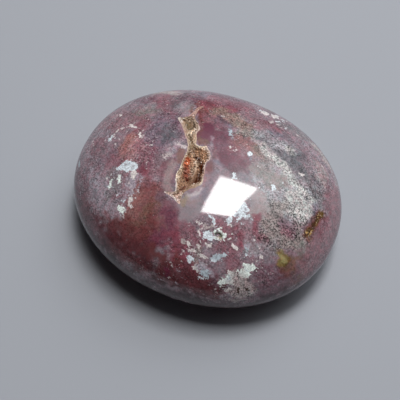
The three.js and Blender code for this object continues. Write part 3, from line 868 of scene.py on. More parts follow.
def wash_right(b):
    b.wash(FLINT, 11, (16, 2), (20, 0.4), (22, 3), soft=3, grain=0.8)
    b.wash(TAUPE, 4.6, (11.6, 5), (13.6, 4), (15.6, 3.6), soft=1.6, grain=0.3)
    b.wash(DOVE, 6, (15.4, 15.6), (20, 15), (25, 14), soft=3)
    b.wash(TAUPE, 4, (9.4, 8.4), (12.2, 7.4), soft=1.6, strength=0.7, grain=0.8)
    b.wash(UMBER, 1.8, (8.4, 8.5), (9.4, 7.3), (10.6, 6.7), soft=1, strength=0.6)
    b.wash(ASH, 2, (10.4, 5.8), (13.4, 6.4), soft=1.6, strength=0.7, grain=0.7)
    b.wash(SLATE, 4.4, (15, 9.9), (18, 9.6), (21, 8.6), (24.4, 7.6), soft=1.6, grain=0.8)
    b.wash(SLATE, 5, (17.6, 12.2), (20.4, 11), (21.6, 9), soft=2, strength=0.7, grain=0.5)
    b.wash(IRON, 1.6, (18.6, 9), (21, 7.8), (23, 6.6), soft=1.2, strength=0.5)
    b.wash(ASH, 3.4, (22.4, 7), (25.2, 6), (26.4, 4.4), soft=1.8, strength=0.8, grain=0.7)
    b.wash(SLATE, 2.6, (16.4, 10.8), (17.3, 12), (18.6, 12.8), soft=1.4)
    b.wash(SLATE, 2.2, (7.6, 12.6), (10, 12), (11.6, 11), (14.6, 10.6), soft=0.9, grain=0.7)
    b.wash(FLINT, 2.6, (7.6, 13.6), (9.8, 13.6), soft=1.6, strength=0.7, grain=0.8)
    b.wash(FLINT, 2.6, (11.8, 12.1), (13.6, 12.8), (15.3, 13.5), soft=1.2, grain=0.9)
    b.wash(SILVER, 1.2, (15.4, 13.2), (16, 11.8), soft=0.8, grain=0.9)
    b.wash(PEARL, 3.4, (22.6, 13.4), (24.6, 11.4), (24.4, 9.8), soft=2, strength=0.8)
    b.wash(DOVE, 3, (20.4, 12), (21.6, 11), soft=2, strength=0.7)
    b.wash(BEIGE, 2.2, (19.4, 19), (22.4, 18), (24.8, 16.6), soft=1.4)
    b.wash(SILVER, 1.4, (7.4, 10.6), (9, 10.4), (10.6, 9.6), soft=0.9, strength=0.7, grain=0.9)
    b.wash(SILVER, 1.8, (11, 9.3), (13.4, 8.8), (15.6, 7.6), soft=1, grain=0.9)
    b.wash(SILVER, 2.2, (15.4, 7.3), (17.4, 6.3), (19.8, 5.1), (22, 4.4), soft=0.9, grain=0.9)
    b.wash(SILVER, 1.4, (21.6, 4.3), (25.4, 3.3), soft=0.7, strength=0.8, grain=0.7)
    b.wash(SILVER, 4.6, (20.6, 2), (23.2, 1.4), (23.4, -0.6), soft=1.6, strength=0.8, grain=0.8)
    b.mark(SLATE, 0.35, (21.8, 3.5), (24.6, 3.4), strength=0.8)
    b.wash(SILVER, 3.4, (20.6, -0.8), (23, -1.4), soft=2, strength=0.7, grain=1)
    b.wash(TAUPE, 6, (17.8, -3.6), (18.4, -7.2), (22, -8.4), (24.4, -6.8), soft=2.4, grain=0.95)
    b.wash(DUSK, 2.8, (21, -4.6), (22.4, -5.8), soft=1.6, strength=0.9, grain=0.9)
    b.wash(MADDER, 1.6, (21.4, -6.6), (23, -6.4), soft=0.79, strength=0.7)
    b.wash(PEARL, 3.4, (13.9, -2.2), (15, -4.2), (14.3, -6), soft=1.2, grain=0.08)
    b.wash(LILAC, 2, (12.4, -1.2), (13, -4), soft=1.2, strength=0.6, grain=0.1)
    b.wash(ROSEWOOD, 3.6, (11, -10), (14, -10.2), (15.4, -11.6), soft=1.6)
    b.wash(CRIMSON, 1.7, (14.9, -7.2), (15.6, -8.6), (16.4, -9.6), soft=0.8)
    b.wash(CRIMSON, 2.2, (12.2, -11.2), (13.2, -12.2), (13.8, -13.4), soft=1.2, strength=0.8)
    b.wash(MADDER, 3, (8.4, -11.4), (10.6, -12.4), (11, -15.4), soft=1.6)
    b.wash(MADDER, 2, (16.6, -10), (18.8, -10.9), soft=0.79, strength=0.8)
    b.wash(ASH, 2.4, (20.6, -10.4), (19.8, -12.2), soft=1.4, strength=0.7, grain=0.8)
    b.wash(LILAC, 2.4, (15.6, -12.8), (18, -13), soft=1.4, strength=0.8)
    b.wash(MADDER, 3, (12.8, -16.6), (14.2, -18.4), soft=1.6)
    b.wash(DUSK, 4.8, (20.4, -16.4), (23.4, -15.6), (22.4, -18.6), soft=2)
    b.wash(DUSK, 2, (10.8, -21.2), (11.8, -22.4), soft=1.4, strength=0.7)
    b.wash(OXBLOOD, 2.4, (24.4, -14.2), (26.6, -13.4), soft=1.6, strength=0.8)
    b.wash(RUST, 3, (26.2, -12.2), (27.6, -9.6), soft=1.8, strength=0.7)
    b.wash(UMBER, 4.4, (24.6, -12), (26.4, -11.6), (27.4, -13), soft=2, strength=0.8, grain=0.3)
    b.wash(BRONZE, 3, (27.4, -9.4), (28.6, -10.4), (27.4, -13), soft=2, strength=0.5)
    b.wash(OLIVE, 2, (22.6, -11), (24.2, -11.2), (23.6, -12.4), soft=0.7, grain=0.3)
    b.wash(PEAT, 0.6, (21.9, -10.7), (23.4, -10.4), soft=0.6, strength=0.7)
    b.wash(PEAT, 0.7, (24.7, -10.6), (24.9, -11.6), (24.4, -12.6), soft=0.6, strength=0.7)
    b.wash(GOLD, 0.9, (22.7, -11.6), (23.8, -11.5), (24.1, -11.9), soft=0.5, grain=0.2)
    b.wash(FERN, 2.4, (26.2, -7), (27, -7.6), soft=1.4, strength=0.6, grain=0.5)
    b.wash(BRICK, 1.6, (27.4, -4.8), (27.9, -5.6), soft=1, strength=0.6)
    b.wash(ROSEWOOD, 6, (29.4, 8), (31, 2), (30.2, -4), (29, -9), soft=2, grain=0.35)
    b.wash(DUSK, 3, (27.4, -13), (25, -16.4), (21.6, -19.6), soft=2, grain=0.35)
    b.wash(UMBER, 2.4, (27.6, 1.6), (26.6, -1), (26.8, -4.6), soft=1.4, strength=0.8)
    b.wash(MADDER, 2.4, (28.6, 1.4), (28.4, -2), soft=1.2, strength=0.6)
    b.wash(DUSK, 1.6, (25.5, -1.4), (25.5, -3.6), soft=0.8, strength=0.7)
    b.wash(STEEL, 1.6, (25.4, 3), (25.8, 1), soft=0.9, strength=0.8)
    b.wash(OXBLOOD, 2.2, (27.3, 1.4), (27, -1), (26.4, -3.6), soft=0.79, strength=0.6)
    b.wash(BRONZE, 1, (27.5, 2.4), (27.2, 0.8), (27.1, -1.4), soft=0.6, grain=0.6)
    b.wash(BRONZE, 1.4, (26.8, -2.9), (26.4, -3.8), soft=0.6, grain=0.6)
    b.wash(SEPIA, 0.6, (27.2, 1.4), (26.8, -0.2), (26.9, -2), (26.1, -4.2), soft=0.5, strength=0.8)


def mark_left(b):
    b.patch(
        MILK, (-17.4, -4.8), (-16.4, -4.9), (-15.1, -5.1), (-14.4, -6), (-14.5, -6.6), (-15.3, -7.3),
        (-16.4, -7.7), (-17.6, -7.6), (-19.1, -7.5), (-18.7, -6.6), (-18, -5.8), (-17.6, -4.8),
    )
    b.uncover(FLINT, 0.5, (-17.2, -6), (-17.1, -6.2))
    b.uncover(FLINT, 0.5, (-15.6, -5.8), (-15.6, -6.2))
    b.uncover(FROST, 0.4, (-16.4, -5.2), (-16.7, -5.6))
    b.patch(
        BLUSH, (-14.9, -6.6), (-14.2, -6.8), (-13.8, -8), (-13.8, -9), (-14.6, -9.1), (-15.2, -7.8)
    )
    b.mark(MIST, 1.6, (-14.2, -9.2), (-13.3, -10.4), (-13, -11.8), strength=0.6)
    b.mark(BLUSH, 0.4, (-13.7, -10.9), (-13.2, -11.1), strength=0.9)
    b.patch(
        CHALK, (-18.1, -8.7), (-17.4, -8.7), (-16.6, -9.9), (-16.6, -10.6), (-17.1, -10.6),
        (-17.6, -9.7),
    )
    b.patch(
        CHALK, (-18.9, -10.2), (-18.4, -10.6), (-18.2, -11.6), (-18.4, -12.4), (-19.1, -12.3),
        (-19.2, -11.3), (-19.4, -10.6),
    )
    b.mark(BEIGE, 0.8, (-18.6, -9.4), (-18, -10.6), (-17.4, -11.6), strength=0.4)
    b.patch(
        BLUSH, (-13.1, -12.4), (-12.3, -12.7), (-12.1, -13.4), (-12.1, -14.4), (-12.7, -14.7),
        (-13, -13.6),
    )
    b.mark(BLUSH, 0.5, (-12.1, -14.4), (-11.4, -14.8), strength=0.9)
    b.patch(MILK, (-14.8, -14), (-13.9, -13.7), (-13.8, -14.4), (-14.8, -14.5), strength=0.8)
    b.patch(
        CHALK, (-15, -15.5), (-14.2, -15.2), (-13.1, -15.4), (-12.8, -16), (-13, -16.8), (-13.9, -16.8),
        (-14.8, -16.2),
    )
    b.mark(PETAL, 0.4, (-12.8, -16.9), (-12.4, -17.4), strength=0.7)
    b.mark(PETAL, 0.6, (-15.2, -11.3), (-15.1, -12.4), strength=0.55)
    b.mark(PETAL, 0.4, (-11.4, -15.3), (-11.2, -15.9), strength=0.7)
    b.mark(BLUSH, 0.5, (-20.7, -9.9), (-20.2, -10.1), strength=0.9)
    b.mark(BEIGE, 0.5, (-21.5, -12.8), (-21.2, -13.2), strength=0.8)
    b.mark(BEIGE, 0.5, (-20.9, -12.3), (-20, -12.5), strength=0.5)
    b.mark(BLUSH, 0.4, (-18.3, -14), (-18, -14.3), strength=0.8)
    b.mark(MIST, 0.9, (-25.7, -8.2), (-25, -9.1), strength=0.75)
    b.mark(PETAL, 0.6, (-16.9, -12.3), (-16.1, -12.6), strength=0.55)
    b.mark(MIST, 0.9, (-23.4, -9.6), (-22.2, -10.7), strength=0.6)
    b.mark(MIST, 0.8, (-25.9, -14), (-25.6, -14.3), strength=0.65)
    b.mark(MIST, 0.6, (-26.4, 2.4), (-26, 1.6), (-26.1, 0.8), (-25.2, 0.4), strength=0.75)
    b.patch(MILK, (-24.7, 0.8), (-23.8, 0.7), (-23.9, -0.2), (-24, -1.1), (-24.7, -0.9), strength=0.8)
    b.mark(BLUSH, 0.5, (-23.7, 2.6), (-24.1, 1.4), (-23.8, 0.7), strength=0.9)
    b.patch(BLUSH, (-21.2, 4.5), (-20.3, 4.6), (-19.5, 3.8), (-19.5, 3.4), (-20.2, 3.7), (-20.9, 3.8))
    b.patch(BLUSH, (-18.5, 3.2), (-17.8, 3), (-16.9, 1.7), (-17.3, 1.5), (-18.1, 2.3))
    b.mark(BLUSH, 0.5, (-25.8, 7.6), (-25.4, 7.1), strength=0.9)
    b.mark(MIST, 0.6, (-25.4, 12.4), (-25.1, 12), strength=0.9)
    b.mark(MIST, 0.9, (-25.7, 11.2), (-25.3, 10.8), strength=0.7)
    b.mark(PETAL, 0.4, (-19.6, 12.7), (-18.8, 12.9), strength=0.6)
    b.mark(MIST, 0.7, (-12, 14.6), (-11.7, 13.4), strength=0.55)
    b.mark(BEIGE, 0.5, (-15.4, 20), (-15.2, 19.6), strength=0.7)
    b.mark(PETAL, 0.6, (-28.8, -1.3), (-27.4, -3), strength=0.65)
    b.mark(MIST, 0.8, (-27.8, -5.5), (-26.7, -5.4), strength=0.7)
    b.mark(FROST, 1.1, (-30.4, -6), (-29.8, -6.9), strength=0.8)
    b.scatter(MILK, 30, 1.2, (-18.6, -8.6), (-17.8, -11.6), (-18.8, -12.4), size=(0.05, 0.35))
    b.scatter(PETAL, 30, 0.9, (-14, -9), (-13, -11), (-12.4, -14), size=(0.05, 0.4))
    b.scatter(MIST, 26, 1.4, (-15.4, -9), (-15.4, -12), (-13, -16), size=(0.05, 0.3))
    b.scatter(PETAL, 26, 1.6, (-25, 1), (-24, -0.6), (-20, 4), (-17.4, 2.4), size=(0.05, 0.35))
    b.scatter(MIST, 40, 2.4, (-26, -6), (-22, -10), (-20.6, -15), size=(0.05, 0.35), strength=0.8)
    b.scatter(PETAL, 30, 2.2, (-25, 12), (-19, 12.6), (-14, 14), size=(0.05, 0.3), strength=0.7)
    b.lace(MIST, 7, (-25, -8), (-22, -11), (-21, -15), share=0.3, soft=3, strength=0.8)
    b.lace(MIST, 5, (-14, -9), (-13.8, -12.5), share=0.42)
    b.lace(MIST, 6, (-17, -9), (-16.6, -13), share=0.36)
    b.lace(BEIGE, 3, (-18.4, -9.4), (-17.8, -12), share=0.3, strength=0.9)


def mark_middle(b):
    b.mark(BLUSH, 0.4, (-13.8, 0.7), (-13.8, 0.5))
    b.mark(PETAL, 1.1, (-8.2, 2.8), (-7.4, 2.3), (-6.3, 2.4), strength=0.66)
    b.mark(BLUSH, 0.4, (-7.1, 2), (-6.3, 2.5), strength=0.9)
    b.mark(BEIGE, 1.6, (-8.5, -0.4), (-9.7, -1.2), strength=0.5)
    b.scatter(PETAL, 26, 0.5, (-8.8, 0.2), (-9.2, -0.9), (-9.8, -1.6), size=(0.05, 0.3))
    b.scatter(PETAL, 20, 0.5, (-8.8, 2.9), (-7, 2.2), (-8.2, 1.2), size=(0.05, 0.25), strength=0.8)
    b.mark(PETAL, 0.35, (-12.9, -3.4), (-12.8, -4.6), strength=0.6)
    b.mark(PETAL, 0.5, (-12.4, -5.8), (-12, -5.8), strength=0.6)
    b.mark(PETAL, 0.5, (-10.9, -4.9), (-10.2, -6.1), strength=0.5)
    b.mark(FROST, 0.7, (1.1, 11.2), (1.5, 10.4), (2, 9.9), strength=0.75)
    b.mark(MIST, 0.6, (2.1, 9.8), (2.7, 9.2), strength=0.6)
    b.patch(BLUSH, (2.7, 6.8), (3.4, 6.6), (3.5, 6.1), (3, 6.2))
    b.patch(PETAL, (4.1, 6.8), (4.8, 6.4), (4.6, 6.1), (4.2, 6.3))
    b.mark(MILK, 0.6, (7.6, 7.1), (8, 6.9), soft=0.5)
    b.mark(STEEL, 0.8, (8.1, 6.3), (8.2, 5.6), strength=0.9)
    b.mark(PETAL, 0.4, (9, 4.9), (9.3, 5.1), strength=0.8)
    b.mark(BLUSH, 0.5, (10.7, 4.8), (11, 4.4), strength=0.8)
    b.mark(MILK, 0.4, (17, 3.5), (17.1, 3), strength=0.75)
    b.patch(MILK, (14.9, 2.2), (15.9, 2), (16.2, 1.2), (15.9, 0.6), (15.4, 1.4))
    b.mark(MILK, 0.7, (6.5, 0.3), (7.1, -0.4))
    b.mark(MILK, 0.5, (12.8, -0.2), (13.4, -0.4), strength=0.7)
    b.patch(BLUSH, (5.2, 22.4), (6.2, 22.8), (7, 21.4), (6.2, 20.7), (5.3, 21))
    b.patch(BLUSH, (7.5, 22.6), (9, 23.2), (9.6, 22), (8.2, 21), (7.4, 21.4))
    b.patch(PETAL, (8.2, 18.6), (8.7, 19.8), (9, 18.4))
    b.patch(PETAL, (9.6, 18.8), (10.4, 19.7), (10.8, 19), strength=0.9)
    b.mark(PETAL, 0.9, (10.8, 22.8), (11.6, 22.6), strength=0.7)
    b.mark(PETAL, 0.6, (15.4, 19), (15.7, 19.2), strength=0.7)
    b.patch(BLUSH, (19.5, 8.3), (20.8, 8.6), (20.3, 7.8), (19.9, 7.6), strength=0.9)
    b.mark(PETAL, 0.8, (23.5, 13.9), (23.9, 13.6), strength=0.7)
    b.mark(PETAL, 0.9, (-2.2, 14.7), (-1.6, 14.5), strength=0.5)
    b.mark(PETAL, 0.5, (-0.5, 16.7), (0.1, 16.7), strength=0.6)
    b.scatter(PETAL, 8, 0.8, (3, 6.6), (5, 6), (9, 5), size=(0.05, 0.2), strength=0.9)
    b.scatter(MILK, 26, 1.0, (6, 22), (9, 22), (11.4, 22.4), (10, 19), size=(0.1, 0.6))
    b.scatter(MIST, 30, 1.4, (17, 15), (21, 14.6), (24, 12), size=(0.05, 0.35), strength=0.8)
    b.scatter(MILK, 8, 0.8, (15.4, 1.4), (13, -0.6), size=(0.05, 0.25))
    b.mark(IRON, 0.5, (16.6, 11.7), (16.8, 11), (17, 10.3), strength=0.9)
    b.mark(IRON, 0.4, (17.4, 12.1), (18.1, 12.9), strength=0.8)
    b.mark(IRON, 0.5, (11.8, 10.75), (12.6, 10.8), strength=0.9)
    b.mark(IRON, 0.4, (12.8, 10.9), (14, 10.9), (14.8, 10.6), strength=0.8)
    b.mark(IRON, 0.4, (15, 10), (16, 9.4), (17.4, 8.8), strength=0.6)
    b.mark(IRON, 0.4, (18.8, 7.4), (20.4, 6.7), strength=0.6)
    b.mark(IRON, 0.4, (22, 5.6), (24.4, 4.8), strength=0.5)
    b.mark(PEAT, 0.45, (7.9, 9.8), (8.1, 9.7), strength=0.7)
    b.mark(UMBER, 0.4, (9.1, 7.3), (9.4, 7.1), strength=0.8)
    b.mark(UMBER, 0.4, (10.6, 6.7), (11, 6.6), strength=0.8)


def mark_front(b):
    b.patch(
        MILK, (10.6, -5.3), (11.2, -4.6), (12.2, -5.3), (12.8, -5.8), (12.6, -6.6), (12, -7.1),
        (13.6, -7.1), (14.3, -7.9), (13.3, -7.6), (12.2, -8), (11.8, -8.9), (11.7, -9.7), (11.2, -9.3),
        (11.3, -8.4), (10.2, -8.7), (9.9, -8.2), (10.5, -7.6), (10.2, -6.9),
    )
    b.uncover(STEEL, 0.5, (12.1, -5.9), (12.3, -6.2))
    b.uncover(STEEL, 0.5, (10.8, -8), (10.9, -8.2))
    b.mark(MILK, 0.4, (10.2, -8.4), (9.5, -9.4), (9.9, -10.5))
    b.mark(MIST, 0.5, (12.4, -8.3), (13.2, -8.4), strength=0.6)
    b.mark(MILK, 0.6, (9.8, -9.4), (9.9, -10.5))
    b.mark(BLUSH, 0.4, (10.4, -10.6), (10.8, -11))
    b.mark(MILK, 0.6, (5.2, -10.8), (6.2, -11.1), (6.9, -11.8), (7.3, -12.2))
    b.mark(BEIGE, 0.5, (7.2, -12.3), (6.4, -13.1), (5.8, -13.7))
    b.mark(BEIGE, 0.5, (5.6, -13), (5.4, -13.4), strength=0.9)
    b.mark(BLUSH, 0.5, (3.3, -13), (4.2, -13.3), (4.8, -12.9))
    b.mark(PETAL, 0.35, (5, -13.5), (5.1, -14.6), strength=0.6)
    b.mark(PETAL, 0.4, (2, -13.6), (1.8, -14.1), strength=0.9)
    b.mark(BLUSH, 0.5, (4.7, -15.2), (5.1, -15.4))
    b.mark(PETAL, 0.35, (4.7, -16), (5.3, -15.9), strength=0.7)
    b.patch(
        MILK, (5.8, -15.4), (5.9, -14.7), (6.6, -14), (7.3, -14), (7.9, -14.4), (8.2, -15.1), (7.6, -15.4),
        (6.9, -15.2), (6.3, -15.6),
    )
    b.mark(CHALK, 0.4, (7.7, -13.5), (8.3, -12.7), (8.8, -12.9), (9.3, -13.2))
    b.mark(CHALK, 0.5, (9.7, -13.3), (10.5, -13.1), (10.1, -14.2))
    b.mark(CHALK, 0.4, (9.7, -14.4), (8.8, -14.8), (8.2, -14.8))
    b.mark(MOSS, 1.1, (8.4, -13.8), (9.3, -13.8), soft=0.5, loose=0)
    b.uncover(FAWN, 0.5, (9, -14.2), (9.5, -14.2))
    b.mark(PETAL, 0.35, (9.8, -15.1), (11.6, -14.8), strength=0.6)
    b.mark(BLUSH, 0.6, (12.6, -14.5), (13.7, -14.9))
    b.mark(MIST, 0.7, (14.9, -13.3), (15.8, -12.9), strength=0.7)
    b.mark(FROST, 0.6, (15.1, -13.8), (15.7, -13.6), (15.8, -14.2), strength=0.9)
    b.uncover(MOSS, 0.4, (16, -13.9), (15.8, -14.1))
    b.patch(MILK, (15.5, -14.7), (16, -14.5), (16.4, -14.7), (16, -15.1))
    b.mark(MIST, 0.5, (17.6, -14.2), (18.4, -13.7), (19, -13.5), strength=0.8)
    b.mark(BLUSH, 0.7, (18.9, -13.8), (19.3, -13.8))
    b.mark(BLUSH, 0.35, (17.8, -12.3), (18, -12.4))
    b.mark(BLUSH, 0.6, (7.2, -16.5), (8, -16.6))
    b.mark(PETAL, 0.4, (7.8, -17.2), (8.1, -17.2), strength=0.8)
    b.patch(
        FROST, (12.3, -16.4), (12.3, -17.3), (11.4, -17.9), (10.6, -18.6), (10, -19.2), (9.3, -19.5),
        (9, -19), (9.4, -18.2), (10.3, -17.5), (11.4, -16.9), strength=0.95,
    )
    b.uncover(MILK, 0.6, (9.4, -19.2), (10.4, -18.8))
    b.uncover(MILK, 0.4, (11.7, -17.3), (12, -16.9))
    b.patch(BEIGE, (1.5, -17.4), (2.3, -17.2), (2.8, -17.8), (2.6, -18.6), (2, -18.4))
    b.mark(BLUSH, 0.6, (3.2, -17.7), (3.9, -18), (3.5, -18.3))
    b.mark(BLUSH, 0.6, (5.4, -17.5), (5.9, -17.9))
    b.mark(BLUSH, 0.5, (4.5, -19.2), (5.6, -18.7))
    b.mark(BLUSH, 0.5, (6.7, -19), (7.6, -18.9), (8.1, -19.2))
    b.mark(PETAL, 0.5, (3, -19.3), (3.5, -20), (2.8, -20.3), strength=0.8)
    b.patch(MILK, (4.1, -20.5), (4.7, -19.9), (5.5, -20.1), (5.8, -20.6), (4.9, -21.1))
    b.mark(MIST, 0.7, (7, -20.2), (8.5, -20.4), strength=0.8)
    b.patch(BLUSH, (6.2, -21.9), (6.5, -21), (6.9, -21.3), (7, -22), (6.6, -22.2))
    b.mark(BLUSH, 0.5, (7.5, -21.6), (7.6, -22.1))
    b.mark(PETAL, 0.4, (3.1, -21.4), (3.8, -21.7), strength=0.7)
    b.wash(MIST, 2.6, (8.3, -21.5), (9.7, -21.6), soft=1)
    b.patch(FROST, (8, -21.2), (9.6, -20.9), (10.2, -21.8), (9.6, -22.7), (8.2, -22.6), strength=0.75)
    b.mark(FROST, 1, (9, -21.6), (9.8, -21.6), strength=0.6)
    b.mark(MILK, 0.6, (8.2, -22.8), (9, -22.7), (9.9, -22.4))
    b.patch(
        CHALK, (16, -17.1), (16.8, -16.4), (17.8, -16), (18.8, -16.2), (18.8, -16.8), (18.1, -17.3),
        (18.4, -18.4), (17.6, -18.8), (17, -19.1), (16.4, -19.4), (15.6, -19.2), (15.6, -18.5),
        (16.3, -18), (16.6, -17.4),
    )
    b.uncover(FROST, 0.4, (17, -17.6), (17.6, -17.5))
    b.patch(
        CHALK, (14, -19.7), (14.8, -19.1), (15.2, -19.5), (15.1, -20.2), (15.5, -20.8), (14.8, -21.4),
        (14, -21.9), (13.4, -22.4), (12.8, -22.7), (12.3, -22.3), (12.9, -21.4), (13.6, -21),
    )
    b.uncover(FROST, 0.7, (14.5, -20), (14.1, -21))
    b.mark(SEPIA, 0.5, (13.1, -21.2), (13.3, -21.6), strength=0.9)
    b.mark(BLUSH, 0.5, (13.4, -19.4), (13.9, -19.5))
    b.mark(BLUSH, 0.6, (14.4, -22.6), (15, -22.4), (15.4, -21.9))
    b.mark(PETAL, 0.5, (12.1, -23.4), (12.4, -23.3))
    b.mark(PETAL, 0.4, (12.3, -24.1), (12.5, -24.3), strength=0.8)
    b.wash(BEIGE, 4, (16, -20.4), (18.4, -20.8), (17, -22), soft=1.6, strength=0.8, grain=0.9)
    b.mark(BEIGE, 0.6, (15.2, -23.7), (17, -23), (19.4, -21.7), strength=0.9)
    b.mark(SEPIA, 0.7, (16.8, -21.3), (17.1, -21.8), strength=0.9)
    b.mark(SEPIA, 0.7, (18.3, -20.6), (19, -20.6), strength=0.9)
    b.mark(BEIGE, 0.5, (15.9, -20.4), (16.8, -20.2), (17.6, -21), strength=0.9)
    b.mark(BEIGE, 0.4, (17.8, -21.5), (18.8, -21.5), strength=0.9)
    b.mark(PETAL, 0.45, (0.3, -21.5), (0.9, -21.8), strength=0.75)
    b.mark(PETAL, 0.4, (0.3, -22.8), (1.4, -22.7), (2.2, -23.1), strength=0.7)
    b.mark(MIST, 0.5, (3.1, -23.1), (3.7, -23.4), strength=0.7)
    b.mark(MIST, 0.3, (4.5, -24), (5, -24.1), strength=0.7)
    b.mark(PETAL, 0.4, (2.6, -24.2), (2.4, -24.8), (1.8, -25.1), strength=0.7)
    b.mark(MIST, 0.4, (3.3, -25.2), (3.9, -25.4), strength=0.7)
    b.mark(MIST, 0.35, (-0.6, -25.8), (1, -25.8), strength=0.6)
    b.scatter(BLUSH, 12, 1.3, (1.6, -17.8), (5, -18.6), (7.6, -19.6), (7, -21.6))
    b.scatter(PETAL, 14, 1.4, (4, -13.2), (6, -13.6), (6.4, -16.4), (4, -17.4))
    b.scatter(MIST, 14, 1.2, (0.6, -22), (3, -23.8), (1, -25.4), size=(0.05, 0.25), strength=0.8)
    b.scatter(MILK, 14, 1.1, (10.4, -9), (13, -8.4), (10.6, -5.4), (12.4, -10))
    b.scatter(BLUSH, 12, 1.3, (12.6, -14.8), (15.6, -13.6), (18.8, -13.8))
    b.scatter(BEIGE, 16, 1.2, (14.8, -18.4), (18.6, -19.6), (16.4, -22.6), size=(0.05, 0.3))
    b.scatter(BLUSH, 8, 1.2, (8.6, -12.4), (10.8, -14.8), (8.4, -16.4))
    b.scatter(SEPIA, 16, 1.1, (16, -20.4), (18.6, -20.6), (16.8, -22.2), size=(0.05, 0.25))
    for colour in (TOPAZ, SEPIA, TOPAZ):
        b.scatter(colour, 14, 0.3, (27.3, 2), (27.1, -0.8), size=(0.05, 0.25))
        b.scatter(colour, 10, 0.3, (26.8, -2.8), (26.4, -3.8), size=(0.05, 0.3))
    b.scatter(SEPIA, 8, 0.5, (22.2, -11), (24, -12.8), (25, -11.4), size=(0.02, 0.12))


